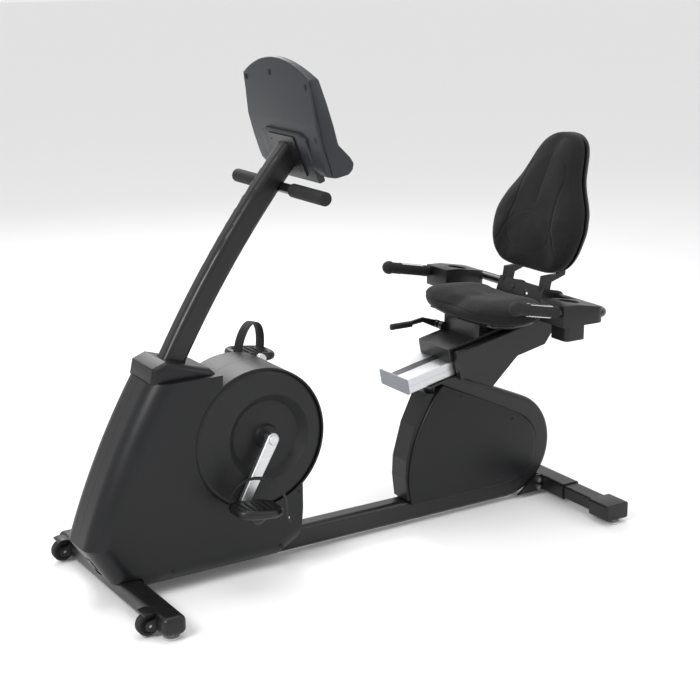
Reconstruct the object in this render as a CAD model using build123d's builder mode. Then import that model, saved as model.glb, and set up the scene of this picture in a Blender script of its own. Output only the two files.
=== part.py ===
from build123d import *
from math import cos, sin, tan, radians, degrees, atan2, hypot, pi, sqrt
import os

# Recumbent exercise bike. Millimetres. +X towards the seat end, +Y to the rider's right,
# +Z up. The origin is on the floor under the middle of the overall box.

# ---------------------------------------------------------------- driving dimensions
overall_length = 1548.2         # from the shroud's nose to the top of the backrest
base_length = 1482.0            # along the floor
front_x = -overall_length / 2 - 2.0
rear_x = front_x + base_length  # back face of the rear stabiliser's end caps

wall = 3.0                      # moulded covers
sheet = 4.0                     # folded steel plates
gap = 0.4                       # between pieces that only lie next to each other
running = 0.05                  # radial clearance of a shaft in its bearing

# floor contact
foot_height = 12.0
beam_width = 54.0
beam_height = 62.0
beam_wall = 3.0
beam_bottom = foot_height

front_foot_x = front_x + 107.0
rear_foot_x = rear_x - 38.0
stabiliser_width = 60.0
stabiliser_height = 48.0
stabiliser_wall = 2.5
stabiliser_round = 16.0
front_cap_y = 236.0             # where the tube ends and its end cap starts
front_half_span = 322.0
rear_half_span = 330.0
front_foot_y = 281.0
rear_foot_y = 302.0

# drive
crank_x = front_x + 491.0
crank_z = 358.0
crank_length = 170.0
crank_angle = 61.0              # below the horizontal, left arm forward and down
crank_arm_inner = 93.0          # distance of the arm's inner face from the centre plane
crank_arm_thick = 14.0
spindle_radius = 10.0
pedal_y = 146.0

# round drum at the back of the shroud
drum_x = crank_x - 26.0
drum_z = crank_z
drum_radius = 184.0
ring_radius = 179.0             # outside of the dark trim ring
face_radius = 168.0             # flat annulus of the drum
recess_radius = 112.0           # dished ring round the crank
dish_radius = 91.0
shroud_half = 86.0
dish_depth = 20.0
boss_radius = 32.0
boss_height = 8.0

# mast
mast_depth = 62.0
mast_width = 48.0
mast_wall = 2.5
mast_foot = (crank_x - 216.0, 583.0)
mast_middle = (crank_x - 53.0, 841.0)
mast_head = (crank_x + 138.0, 1080.0)

# console
console_tilt = 22.0             # mounting plate, from the vertical
console_half = 168.0
plate_centre = (crank_x + 114.0, 1048.0)
plate_half = 64.0
plate_length = 108.0

# seat rail
rail_slope = 11.5
rail_front = (crank_x + 439.0, 392.0)
rail_length = 478.0
rail_half = 65.0
rail_height = 42.0
carriage_front = 136.0          # along the rail, from its front end
carriage_length = 232.0
carriage_half = 70.0
carriage_height = 38.0
seat_forward = 120.0
seat_backward = 100.0
lock_pitch = 20.0               # holes for the lock pin along the rail

# rear loop of the frame
loop_radius = 122.0
loop_x = rear_x - 190.0
loop_top_angle = 23.0

# seat
seat_half = 205.0
grip_y = 292.0
grip_radius = 16.0
bar_radius = 12.7

os.makedirs("parts", exist_ok=True)


def save(part, label):
    part.label = label
    export_step(part, f"parts/{label}.step")


def side_plane(y):
    """A plane parallel to XZ at the given y: sketch x is X, sketch y is Z, normal is -Y."""
    return Plane(origin=(0, y, 0), x_dir=(1, 0, 0), z_dir=(0, -1, 0))


def along_x(x, y, z):
    """Cross-section plane facing +X: sketch x is Y, sketch y is Z."""
    return Plane(origin=(x, y, z), x_dir=(0, 1, 0), z_dir=(1, 0, 0))


def along_y(x, y, z, way=1):
    """Cross-section plane facing +Y or -Y: sketch x is X."""
    return Plane(origin=(x, y, z), x_dir=(1, 0, 0), z_dir=(0, way, 0))


def rail_point(s, n=0.0):
    """X and Z of a point s along the rail from its front and n above its underside."""
    c, d = cos(radians(rail_slope)), sin(radians(rail_slope))
    return rail_front[0] + s * c - n * d, rail_front[1] + s * d + n * c


def rail_plane(s, n=0.0, y=0.0):
    """Plane lying on the rail: local x along it, local y across, normal up from it."""
    x, z = rail_point(s, n)
    c, d = cos(radians(rail_slope)), sin(radians(rail_slope))
    return Plane(origin=(x, y, z), x_dir=(c, 0, d), z_dir=(-d, 0, c))


def rod(start, end, radius, bore=0.0):
    """A round bar or tube between two points, made outside any builder."""
    axis = Vector(*end) - Vector(*start)
    plane = Plane(origin=start, z_dir=axis)
    body = extrude(plane * Circle(radius), axis.length)
    if bore:
        body -= extrude(plane * Circle(bore), axis.length)
    return body


def fastener(place, direction, head, height, shank, length):
    """Screw seated at place with its head standing out along direction, and a hexagon recess."""
    seat = Plane(origin=place, z_dir=direction)
    body = extrude(seat * Circle(head), height) + extrude(seat * Circle(shank), -length)
    return body - extrude(seat.offset(height) * RegularPolygon(head * 0.5, 6), -height * 0.6)


# ================================================================ welded frame
beam_start = front_foot_x
beam_centre_z = beam_bottom + beam_height / 2
loop_z = beam_centre_z + loop_radius
loop_top = (loop_x + loop_radius * sin(radians(loop_top_angle)),
            loop_z + loop_radius * cos(radians(loop_top_angle)))
loop_run = 300.0
loop_end = (loop_top[0] - loop_run * cos(radians(loop_top_angle)),
            loop_top[1] + loop_run * sin(radians(loop_top_angle)))


def loop_outer_z(x, extra=0.0):
    """Height of the loop's straight upper side at x, measured on its outer face."""
    along = (loop_top[0] - x) / cos(radians(loop_top_angle))
    rise = along * sin(radians(loop_top_angle))
    return loop_top[1] + rise + (beam_height / 2 + extra) / cos(radians(loop_top_angle))


stabiliser_z = beam_bottom + 2 + stabiliser_height / 2


def loop_solid(grow):
    """The bent rear tube as a solid of its outside, grown by a clearance, up to beyond the rail."""
    with BuildPart() as body:
        with BuildLine(side_plane(0)) as loop_path:
            lower = Line((loop_x, beam_centre_z), (loop_x + 1, beam_centre_z))
            JernArc(lower @ 1, (1, 0), loop_radius, 180 - loop_top_angle)
            PolarLine(loop_path.line @ 1, loop_run, direction=loop_path.line % 1)
        with BuildSketch(along_x(loop_x, 0, beam_centre_z)):
            RectangleRounded(beam_width + 2 * grow, beam_height + 2 * grow, 14 + grow)
        sweep(path=loop_path.line, transition=Transition.RIGHT)
    return body.part


# bent tube that carries the seat rail, trimmed flush to the underside of the rail cradle
with BuildPart() as rear_loop:
    add(loop_solid(0))
    add(loop_solid(-beam_wall), mode=Mode.SUBTRACT)
    with BuildSketch(rail_plane(-200, -sheet)):
        Rectangle(1600, 300)
    extrude(amount=400, mode=Mode.SUBTRACT)
save(rear_loop.part, "rear_loop")

# cross tube under the nose; its middle is notched for the beam
with BuildPart() as front_stabiliser:
    with BuildSketch(along_y(front_foot_x, 0, stabiliser_z)):
        RectangleRounded(stabiliser_width, stabiliser_height, stabiliser_round)
        RectangleRounded(stabiliser_width - 2 * stabiliser_wall, stabiliser_height - 2 * stabiliser_wall,
                         stabiliser_round - stabiliser_wall, mode=Mode.SUBTRACT)
    extrude(amount=front_cap_y, both=True)
    with BuildSketch(along_x(beam_start - 1, 0, beam_centre_z)):
        RectangleRounded(beam_width, beam_height, 14)
    extrude(amount=100, mode=Mode.SUBTRACT)
save(front_stabiliser.part, "front_stabiliser")

# ---------------------------------------------------------------- rear cross tube
rear_tube_width = 50.0
rear_tube_height = 38.0
rear_tube_y = 292.0
rear_cap_width = 76.0
rear_cap_height = 46.0
rear_cap_start = 254.0
sleeve_half = 129.0
rear_z = beam_bottom + 2 + rear_cap_height / 2

with BuildPart() as rear_stabiliser:
    with BuildSketch(along_y(rear_foot_x, 0, rear_z)):
        RectangleRounded(rear_tube_width, rear_tube_height, 5)
        RectangleRounded(rear_tube_width - 5, rear_tube_height - 5, 3, mode=Mode.SUBTRACT)
    extrude(amount=rear_tube_y, both=True)
save(rear_stabiliser.part, "rear_stabiliser")

# saddle bolted behind the loop, with the sleeve that holds the rear cross tube welded to it
bracket_half = 34.0
bolt_radius = 5.0
bolt_head = 8.5
bolt_head_height = 6.0
bracket_bolt_at = [(loop_x + 112, beam_bottom + z) for z in (14, 36)]
with BuildPart() as rear_bracket:
    with BuildSketch(side_plane(bracket_half)):
        Polygon((loop_x + 40, beam_bottom + 2), (rear_foot_x - 26, beam_bottom + 2),
                (rear_foot_x - 26, beam_bottom + 50), (loop_x + 100, beam_bottom + 50), align=None)
    extrude(amount=2 * bracket_half)
    with BuildSketch(along_y(rear_foot_x, 0, rear_z)):
        RectangleRounded(rear_tube_width + 8, rear_tube_height + 8, 7)
    extrude(amount=sleeve_half, both=True)
    with BuildSketch(along_y(rear_foot_x, 0, rear_z)):
        RectangleRounded(rear_tube_width + 2 * gap, rear_tube_height + 2 * gap, 5)
    extrude(amount=sleeve_half, both=True, mode=Mode.SUBTRACT)
    with BuildSketch(side_plane(beam_width / 2 + gap)):
        Polygon((loop_x, 0), (loop_x + 118, 0), (loop_x + 118, 90), (loop_x, 90), align=None)
    extrude(amount=beam_width + 2 * gap, mode=Mode.SUBTRACT)
    with BuildSketch(side_plane(bracket_half)):
        with Locations(*bracket_bolt_at):
            Circle(bolt_radius)
    extrude(amount=2 * bracket_half, mode=Mode.SUBTRACT)
save(rear_bracket.part, "rear_bracket")

# ---------------------------------------------------------------- end caps and feet
wheel_x = front_foot_x - 43.0
wheel_z = 33.0
wheel_radius = 28.0
wheel_y = 258.0
wheel_width = 20.0
wheel_axle_radius = 4.0
arm_thick = 8.0
foot_stem_radius = 5.0
foot_disc_radius = 20.0


def mirrored(part):
    return mirror(part, about=Plane.XZ)


with BuildPart() as front_cap_left:
    slot = wheel_width / 2 + 2
    with BuildSketch(along_y(front_foot_x, -front_cap_y, stabiliser_z, -1)):
        RectangleRounded(stabiliser_width, stabiliser_height, stabiliser_round)
    extrude(amount=front_half_span - front_cap_y)
    fillet(front_cap_left.faces().sort_by(Axis.Y)[0].edges(), 14)
    # plug inside the tube
    with BuildSketch(along_y(front_foot_x, -front_cap_y, stabiliser_z)):
        RectangleRounded(stabiliser_width - 2 * stabiliser_wall - 2 * gap,
                         stabiliser_height - 2 * stabiliser_wall - 2 * gap, stabiliser_round - stabiliser_wall)
    extrude(amount=30)
    # fork arms and the mudguard over the wheel
    with BuildSketch(side_plane(-wheel_y + slot + arm_thick)):
        with Locations((wheel_x, wheel_z)):
            Circle(13)
        Polygon((wheel_x, wheel_z - 13), (front_foot_x, stabiliser_z - 18), (front_foot_x, stabiliser_z + 18),
                (wheel_x, wheel_z + 13), align=None)
    extrude(amount=2 * (slot + arm_thick))
    with BuildSketch(side_plane(-wheel_y + slot + arm_thick)):
        with Locations((wheel_x, wheel_z)):
            Circle(wheel_radius + 6)
            Circle(wheel_radius + 2.5, mode=Mode.SUBTRACT)
            with Locations((0, -wheel_radius)):
                Rectangle(120, 2 * wheel_radius + 8, mode=Mode.SUBTRACT)
            with Locations((-40, 0)):
                Rectangle(50, 200, mode=Mode.SUBTRACT)
    extrude(amount=2 * (slot + arm_thick))
    # slot for the wheel
    with BuildSketch(side_plane(-wheel_y + slot)):
        with Locations((wheel_x, wheel_z)):
            Circle(wheel_radius + 2.5)
        Polygon((wheel_x - 60, 0), (wheel_x, 0), (wheel_x, wheel_z), (wheel_x - 60, wheel_z), align=None)
    extrude(amount=2 * slot, mode=Mode.SUBTRACT)
    # bores for the axle and the foot's stem
    with BuildSketch(side_plane(-wheel_y + 60)):
        with Locations((wheel_x, wheel_z)):
            Circle(wheel_axle_radius)
    extrude(amount=120, mode=Mode.SUBTRACT)
    with BuildSketch(Plane(origin=(front_foot_x, -front_foot_y - 12, 0))):
        Circle(foot_stem_radius + running)
    extrude(amount=52, mode=Mode.SUBTRACT)
save(front_cap_left.part, "front_end_cap_left")
save(mirrored(front_cap_left.part), "front_end_cap_right")

with BuildPart() as rear_cap_left:
    with BuildSketch(along_y(rear_foot_x, -rear_cap_start, rear_z, -1)):
        RectangleRounded(rear_cap_width, rear_cap_height, 6)
    extrude(amount=rear_half_span - rear_cap_start)
    fillet(rear_cap_left.faces().sort_by(Axis.Y)[0].edges(), 4)
    with BuildSketch(along_y(rear_foot_x, -rear_cap_start, rear_z, -1)):
        RectangleRounded(rear_tube_width + 2 * gap, rear_tube_height + 2 * gap, 5)
    extrude(amount=rear_tube_y - rear_cap_start + gap, mode=Mode.SUBTRACT)
    with BuildSketch(Plane(origin=(rear_foot_x, -rear_foot_y - 8, 0))):
        Circle(foot_stem_radius + running)
    extrude(amount=48, mode=Mode.SUBTRACT)
save(rear_cap_left.part, "rear_end_cap_left")
save(mirrored(rear_cap_left.part), "rear_end_cap_right")


def levelling_foot(label, x, y, stem_top):
    """Glide disc with a rubber-like rounded rim, a hexagon and a threaded stem."""
    with BuildPart() as foot:
        with BuildSketch(Plane.XY):
            with Locations((x, y)):
                Circle(foot_disc_radius)
        extrude(amount=6)
        fillet(foot.edges().filter_by(GeomType.CIRCLE), 1.5)
        with BuildSketch(Plane.XY.offset(6)):
            with Locations((x, y)):
                RegularPolygon(9, 6)
        extrude(amount=6)
        with BuildSketch(Plane.XY.offset(12)):
            with Locations((x, y)):
                Circle(foot_stem_radius)
        extrude(amount=stem_top - 12)
    save(foot.part, label)


levelling_foot("foot_front_left", front_foot_x, -front_foot_y - 12, 50)
levelling_foot("foot_front_right", front_foot_x, front_foot_y + 12, 50)
levelling_foot("foot_rear_left", rear_foot_x, -rear_foot_y - 8, 46)
levelling_foot("foot_rear_right", rear_foot_x, rear_foot_y + 8, 46)


def transport_wheel(label, y):
    with BuildPart() as wheel:
        with BuildSketch(side_plane(y + wheel_width / 2)):
            with Locations((wheel_x, wheel_z)):
                Circle(wheel_radius)
                Circle(wheel_axle_radius + running, mode=Mode.SUBTRACT)
        extrude(amount=wheel_width)
        fillet(wheel.edges().filter_by(GeomType.CIRCLE).group_by(SortBy.RADIUS)[-1], 4)
        for face_y, way in ((y + wheel_width / 2, 1), (y - wheel_width / 2, -1)):
            with BuildSketch(along_y(wheel_x, face_y, wheel_z, way)):
                Circle(20)
                Circle(10, mode=Mode.SUBTRACT)
            extrude(amount=-4, mode=Mode.SUBTRACT)
    save(wheel.part, label)


transport_wheel("transport_wheel_left", -wheel_y)
transport_wheel("transport_wheel_right", wheel_y)

with BuildPart() as wheel_axles:
    for y in (-wheel_y, wheel_y):
        with BuildSketch(side_plane(y + wheel_width / 2 + arm_thick)):
            with Locations((wheel_x, wheel_z)):
                Circle(wheel_axle_radius)
        extrude(amount=wheel_width + 2 * arm_thick)
save(wheel_axles.part, "wheel_axles")

# ================================================================ front shroud
shroud_top = 540.0
shroud_bottom = 26.0
nose_top = (front_x + 184, shroud_top)
nose_middle = (front_x + 92, 372)
nose_bottom = (front_x + 2, 150)
nose_round = 50.0
seam = 0.5


def shroud_outline(inset):
    """Side outline of the casing, pulled in by inset, as a sketch on the centre plane."""
    with BuildSketch(side_plane(0)) as outline:
        with BuildLine():
            nose = ThreePointArc(nose_top, nose_middle, nose_bottom)
            Polyline(nose @ 1, (front_x + 66, 52), (front_x + 92, shroud_bottom),
                     (crank_x + 34, shroud_bottom), (crank_x + 86, 55), (crank_x + 95, 152),
                     (crank_x + 95, 224), (crank_x, 300), (crank_x - 127, 505), (crank_x - 125, shroud_top),
                     nose @ 0)
        make_face()
        fillet(outline.vertices().group_by(Axis.Y)[0], 14)
        with Locations((drum_x, drum_z)):
            Circle(drum_radius)
        if inset:
            offset(amount=-inset, mode=Mode.REPLACE)
    return outline.sketch


def casing(inset, round_edges):
    """Solid of the casing's outside, or of its inside when inset is the wall."""
    with BuildPart() as body:
        add(extrude(shroud_outline(inset), shroud_half - inset, both=True))
        edges = [e for e in body.edges() if abs(abs(e.center().Y) - (shroud_half - inset)) < 1
                 and e.center().X < front_x + 175]
        fillet(edges, round_edges)
    return body.part


def mast_solid(grow, down):
    """Curved mast of rounded-rectangle section, grown by a clearance, with a straight foot."""
    with BuildPart() as body:
        with BuildLine(side_plane(0)) as path:
            arc = ThreePointArc(mast_foot, mast_middle, mast_head)
            foot = arc % 0
            Line((mast_foot[0] - foot.X * down, mast_foot[1] - foot.Z * down), mast_foot)
        start = path.wires()[0] @ 0
        with BuildSketch(Plane(origin=start, x_dir=(0, 1, 0), z_dir=path.wires()[0] % 0)):
            RectangleRounded(mast_width + 2 * grow, mast_depth + 2 * grow, 15 + grow)
        sweep(path=path.wires()[0])
    return body.part


mast_outer = mast_solid(0, 86)
mast_clearance = mast_solid(2, 80)

# collar round the foot of the mast, on top of both halves of the shroud
collar_half = 70.0


def collar_block(inset):
    with BuildPart() as block:
        with BuildSketch(side_plane(collar_half - inset)):
            Polygon((nose_top[0] + 2 + inset, shroud_top - 1), (nose_top[0] + 10 + inset, shroud_top + 36 - inset),
                    (nose_top[0] + 44, shroud_top + 49 - inset), (crank_x - 146 - inset, shroud_top + 15 - inset),
                    (crank_x - 130 - inset, shroud_top - 1), align=None)
        extrude(amount=2 * (collar_half - inset))
        sides = [e for e in block.edges() if e.center().Z > shroud_top + 3
                 and abs(e.center().Y) > collar_half - inset - 1]
        fillet(sides, 16 - inset)
    return block.part


with BuildPart() as mast_collar:
    add(collar_block(0))
    add(collar_block(wall), mode=Mode.SUBTRACT)
    with Locations((0, 0, shroud_top - 50)):
        Box(2000, 400, 100, mode=Mode.SUBTRACT)
    add(mast_clearance, mode=Mode.SUBTRACT)
save(mast_collar.part, "mast_collar")

# two moulded halves that meet on the centre plane
screw_radius = 2.5
screw_head = 5.5
screw_head_height = 2.5
shroud_screw_at = [(crank_x - 272, 46), (crank_x + 30, 44), (crank_x + 82, 200), (crank_x - 150, 524)]
panel_low = (front_x + 66, 52)
panel_normal = Vector(panel_low[1] - nose_bottom[1], 0, nose_bottom[0] - panel_low[0]).normalized()
inlet_radius = 8.0
inlet_plane = Plane(origin=((panel_low[0] + nose_bottom[0]) / 2, -18, (panel_low[1] + nose_bottom[1]) / 2),
                    x_dir=(0, 1, 0), z_dir=panel_normal)

with BuildPart() as shroud_left:
    add(casing(0, nose_round))
    add(casing(wall, nose_round - wall), mode=Mode.SUBTRACT)
    # only the left half
    with Locations((0, 200 - seam / 2, 300)):
        Box(2000, 400, 1400, mode=Mode.SUBTRACT)
    # window for the drum's trim ring and disc
    with BuildSketch(side_plane(-shroud_half + wall + 1)):
        with Locations((drum_x, drum_z)):
            Circle(ring_radius)
    extrude(amount=20, mode=Mode.SUBTRACT)
    # mast, front stabiliser and beam pass through
    add(mast_clearance, mode=Mode.SUBTRACT)
    with BuildSketch(along_x(front_x, 0, beam_centre_z)):
        RectangleRounded(beam_width + 4, beam_height + 4, 15)
    extrude(amount=overall_length, mode=Mode.SUBTRACT)
    with BuildSketch(along_y(front_foot_x, 0, stabiliser_z)):
        RectangleRounded(stabiliser_width + 4, stabiliser_height + 4, stabiliser_round)
    extrude(amount=200, both=True, mode=Mode.SUBTRACT)
    # holes for the side screws and for the power inlet in the slanted panel
    with BuildSketch(side_plane(-shroud_half + 6)):
        with Locations(*shroud_screw_at):
            Circle(screw_radius + 0.2)
    extrude(amount=20, mode=Mode.SUBTRACT)
    with BuildSketch(inlet_plane):
        Circle(inlet_radius + gap)
    extrude(amount=14, both=True, mode=Mode.SUBTRACT)
save(shroud_left.part, "shroud_left")
save(mirrored(shroud_left.part), "shroud_right")

with BuildPart() as drum_disc_left:
    with BuildSketch(side_plane(-shroud_half + wall)):
        with Locations((drum_x, drum_z)):
            Circle(face_radius)
        with Locations((crank_x, crank_z)):
            Circle(recess_radius, mode=Mode.SUBTRACT)
    extrude(amount=wall)
    floor_y = -shroud_half + dish_depth
    with BuildSketch(Plane(origin=(crank_x, 0, crank_z), x_dir=(1, 0, 0), z_dir=(0, 0, 1))):
        Polygon((recess_radius, -shroud_half), (dish_radius, floor_y), (boss_radius, floor_y),
                (boss_radius - 4, floor_y - boss_height), (spindle_radius + 1.5, floor_y - boss_height),
                (spindle_radius + 1.5, floor_y - boss_height + wall), (boss_radius - 6, floor_y + wall),
                (dish_radius + 1, floor_y + wall), (recess_radius, -shroud_half + wall), align=None)
    revolve(axis=Axis((crank_x, 0, crank_z), (0, 1, 0)))
    # trim ring moulded on the outside, resting in the casing's window
    with BuildSketch(Plane(origin=(drum_x, 0, drum_z), x_dir=(1, 0, 0), z_dir=(0, 0, 1))):
        Polygon((face_radius - 1, -shroud_half), (ring_radius - gap, -shroud_half + 6),
                (ring_radius - gap, -shroud_half + 11), (face_radius - 8, -shroud_half + 11),
                (face_radius - 8, -shroud_half + wall), (face_radius - 1, -shroud_half + wall), align=None)
    revolve(axis=Axis((drum_x, 0, drum_z), (0, 1, 0)))
save(drum_disc_left.part, "drum_disc_left")
save(mirrored(drum_disc_left.part), "drum_disc_right")

with BuildPart() as power_inlet:
    with BuildSketch(inlet_plane):
        RectangleRounded(24, 34, 4)
    extrude(amount=2)
    with BuildSketch(inlet_plane):
        Circle(inlet_radius)
    extrude(amount=-16)
    with BuildSketch(inlet_plane.offset(2)):
        Circle(5)
        Circle(1.5, mode=Mode.SUBTRACT)
    extrude(amount=-12, mode=Mode.SUBTRACT)
save(power_inlet.part, "power_inlet")

# ================================================================ beam, upright and mast
upright_width = 50.0
upright_depth = 56.0
joint_plate = 6.0
joint_side = 104.0
joint_deep = 88.0
joint_holes = (78, 50)
foot_dir = Vector(mast_middle[0] - mast_foot[0] - 14, 0, mast_middle[1] - mast_foot[1]).normalized()
joint_plane = Plane(origin=(mast_foot[0] - foot_dir.X * 86, 0, mast_foot[1] - foot_dir.Z * 86),
                    x_dir=(0, 1, 0), z_dir=foot_dir)
beam_top = beam_bottom + beam_height
upright_low = Vector(joint_plane.origin.X - 60, 0, beam_top)
upright_high = joint_plane.origin - foot_dir * joint_plate
upright_axis = (upright_high - upright_low).normalized()
upright_plane = Plane(origin=upright_low - upright_axis * 30, x_dir=(0, 1, 0), z_dir=upright_axis)
upright_length = (upright_high - upright_low).length + 90

# straight beam on the floor with the upright for the mast welded to it
with BuildPart() as main_frame:
    with BuildSketch(upright_plane):
        RectangleRounded(upright_width, upright_depth, 8)
    extrude(amount=upright_length)
    with BuildSketch(along_x(beam_start, 0, beam_centre_z)):
        RectangleRounded(beam_width, beam_height, 14)
    extrude(amount=loop_x - beam_start)
    with BuildSketch(upright_plane):
        RectangleRounded(upright_width - 6, upright_depth - 6, 5)
    extrude(amount=upright_length, mode=Mode.SUBTRACT)
    with BuildSketch(along_x(beam_start, 0, beam_centre_z)):
        RectangleRounded(beam_width - 2 * beam_wall, beam_height - 2 * beam_wall, 11)
    extrude(amount=loop_x - beam_start, mode=Mode.SUBTRACT)
    with BuildSketch(joint_plane.offset(-joint_plate)):
        Rectangle(400, 400)
    extrude(amount=200, mode=Mode.SUBTRACT)
    with BuildSketch(joint_plane.offset(-joint_plate)):
        RectangleRounded(joint_side, joint_deep, 10)
        with GridLocations(*joint_holes, 2, 2):
            Circle(bolt_radius, mode=Mode.SUBTRACT)
    extrude(amount=joint_plate)
save(main_frame.part, "main_frame")

plate_dir = Vector(cos(radians(console_tilt)), 0, sin(radians(console_tilt)))
plate_plane = Plane(origin=(plate_centre[0], 0, plate_centre[1]), x_dir=(0, 1, 0), z_dir=plate_dir)
plate_screw_at = [(y, n) for y in (-48, 48) for n in (-38, 38)]

# curved mast with a plate at each end
with BuildPart() as mast:
    add(mast_outer)
    add(mast_solid(-mast_wall, 120), mode=Mode.SUBTRACT)
    with BuildSketch(plate_plane.offset(-sheet)):
        Rectangle(400, 400)
    extrude(amount=300, mode=Mode.SUBTRACT)
    with BuildSketch(joint_plane):
        Rectangle(300, 300)
    extrude(amount=-100, mode=Mode.SUBTRACT)
    with BuildSketch(joint_plane):
        RectangleRounded(joint_side, joint_deep, 10)
        with GridLocations(*joint_holes, 2, 2):
            Circle(bolt_radius, mode=Mode.SUBTRACT)
    extrude(amount=joint_plate)
    with BuildSketch(plate_plane.offset(-sheet)):
        RectangleRounded(2 * plate_half, plate_length, 8)
        with Locations(*plate_screw_at):
            Circle(screw_radius + 0.2, mode=Mode.SUBTRACT)
    extrude(amount=sheet)
save(mast.part, "mast")

# ================================================================ drive inside the shroud
bearing_outer = 17.5
bearing_wide = 10.0
shell_left = 40.0
shell_right = 24.0
post_width = 44.0
brake_x = crank_x - 49.0
brake_z = crank_z - 89.0
pin_radius = 4.0


def ring(x, z, y0, y1, outer, inner):
    """Ring about an axis along Y, between two y values."""
    with BuildPart() as body:
        with BuildSketch(side_plane(y1)):
            with Locations((x, z)):
                Circle(outer)
                Circle(inner, mode=Mode.SUBTRACT)
        extrude(amount=y1 - y0)
    return body.part


# post with the bottom bracket on top and two ears for the brake arm
with BuildPart() as bottom_bracket:
    add(ring(crank_x, crank_z, -shell_left, shell_right, bearing_outer + 4, bearing_outer))
    with BuildSketch(Plane.XY.offset(beam_top)):
        with Locations((crank_x, 0)):
            RectangleRounded(50, post_width, 6)
    extrude(amount=crank_z - beam_top)
    for y in (-16, 20):
        with BuildSketch(side_plane(y)):
            Polygon((crank_x - 22, brake_z - 16), (brake_x, brake_z - 11), (brake_x - 10, brake_z - 4),
                    (brake_x - 10, brake_z + 5), (brake_x, brake_z + 11), (crank_x - 22, brake_z + 16), align=None)
        extrude(amount=4)
    with BuildSketch(side_plane(shell_right)):
        with Locations((crank_x, crank_z)):
            Circle(bearing_outer)
    extrude(amount=shell_left + shell_right, mode=Mode.SUBTRACT)
    add(ring(brake_x, brake_z, -20, 20, pin_radius, 1))
    # sealed bearings pressed into both ends
    for y0 in (-shell_left, shell_right - bearing_wide):
        add(ring(crank_x, crank_z, y0, y0 + bearing_wide, bearing_outer, spindle_radius + running))
save(bottom_bracket.part, "bottom_bracket")

with BuildPart() as spindle:
    with BuildSketch(side_plane(crank_arm_inner + crank_arm_thick)):
        with Locations((crank_x, crank_z)):
            Circle(spindle_radius)
    extrude(amount=2 * (crank_arm_inner + crank_arm_thick))
save(spindle.part, "spindle")

arm_dx = crank_length * cos(radians(crank_angle))
arm_dz = crank_length * sin(radians(crank_angle))
arm_outer = crank_arm_inner + crank_arm_thick
pedal_axle_radius = 7.0
pedal_inner = arm_outer + 4.0
pedal_outer = 191.0


def crank_arm(label, side):
    """Forged arm with its bolt cap and the pedal's axle; side -1 is the left one."""
    eye = (crank_x + side * arm_dx, crank_z + side * arm_dz)
    with BuildPart() as arm:
        with BuildSketch(along_y(0, side * crank_arm_inner, 0, side)):
            with Locations((crank_x, -side * crank_z)):
                Circle(17)
            with Locations((eye[0], -side * eye[1])):
                Circle(13)
            make_hull()
        extrude(amount=crank_arm_thick)
        chamfer(arm.faces().filter_by(Axis.Y).edges(), 2)
        with BuildSketch(along_y(crank_x, side * crank_arm_inner, crank_z, side)):
            Circle(spindle_radius)
        extrude(amount=crank_arm_thick, mode=Mode.SUBTRACT)
        with BuildSketch(along_y(crank_x, side * arm_outer, crank_z, side)):
            Circle(13)
        extrude(amount=4)
        chamfer(arm.faces().filter_by(Axis.Y).sort_by(Axis.Y)[0 if side < 0 else -1].edges(), 1.5)
        with BuildSketch(along_y(eye[0], side * arm_outer, eye[1], side)):
            Circle(pedal_axle_radius)
        extrude(amount=pedal_outer - 12 - arm_outer)
    save(arm.part, label)


crank_arm("crank_arm_left", -1)
crank_arm("crank_arm_right", 1)

# left pedal: ribbed platform, weighted frame below, strap over the foot
pedal_tilt = 9.0
strap_height = 94.0
strap_width = 34.0
pc, ps = cos(radians(pedal_tilt)), sin(radians(pedal_tilt))
pedal_eye = (crank_x - arm_dx, crank_z - arm_dz)


def pedal_side(y):
    """Side plane of the left pedal: origin on the axle, local x along the platform."""
    return Plane(origin=(pedal_eye[0], y, pedal_eye[1]), x_dir=(pc, 0, -ps), z_dir=(0, -1, 0))


with BuildPart() as pedal_left:
    with BuildSketch(pedal_side(-pedal_inner)):
        Polygon((-74, -4), (-70, 9), (-52, 11), (62, 11), (68, 2), (62, -9), (22, -12), (-22, -12), (-52, -7), align=None)
    extrude(amount=pedal_outer - pedal_inner)
    fillet(pedal_left.edges().filter_by(Axis.Y), 3)
    # slots through the platform on both sides of the axle
    with BuildSketch(Plane(origin=(pedal_eye[0], 0, pedal_eye[1]), x_dir=(pc, 0, -ps), z_dir=(ps, 0, pc))):
        with Locations((-44, -151), (-26, -151), (26, -151), (44, -151)):
            RectangleRounded(9, 54, 4)
    extrude(amount=60, both=True, mode=Mode.SUBTRACT)
    # open triangular frame that keeps the pedal level
    with BuildSketch(pedal_side(-pedal_inner - 26)):
        Polygon((-30, -10), (20, -50), (34, -50), (62, -7), (52, -7), (28, -40), (-12, -10), align=None)
    extrude(amount=28)
    # strap
    with BuildSketch(Plane(origin=(pedal_eye[0] - 23 * pc, 0, pedal_eye[1] + 23 * ps), x_dir=(0, 1, 0), z_dir=(pc, 0, -ps))):
        with BuildLine():
            a = Line((-pedal_outer - 4, -8), (-pedal_outer - 4, strap_height - 46))
            b = ThreePointArc(a @ 1, (-(pedal_inner + pedal_outer) / 2, strap_height), (-pedal_inner + 1, strap_height - 46))
            c = Line(b @ 1, (-pedal_inner + 1, 6))
            d = Line(c @ 1, (-pedal_inner - 3, 6))
            e = Line(d @ 1, (-pedal_inner - 3, strap_height - 46))
            f = ThreePointArc(e @ 1, (-(pedal_inner + pedal_outer) / 2, strap_height - 4), (-pedal_outer, strap_height - 46))
            g = Line(f @ 1, (-pedal_outer, -8))
            Line(g @ 1, a @ 0)
        make_face()
    extrude(amount=strap_width)
    with BuildSketch(pedal_side(-pedal_inner + 5)):
        Circle(pedal_axle_radius + running)
    extrude(amount=pedal_outer - 12 - pedal_inner + 6, mode=Mode.SUBTRACT)
save(pedal_left.part, "pedal_left")
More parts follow.
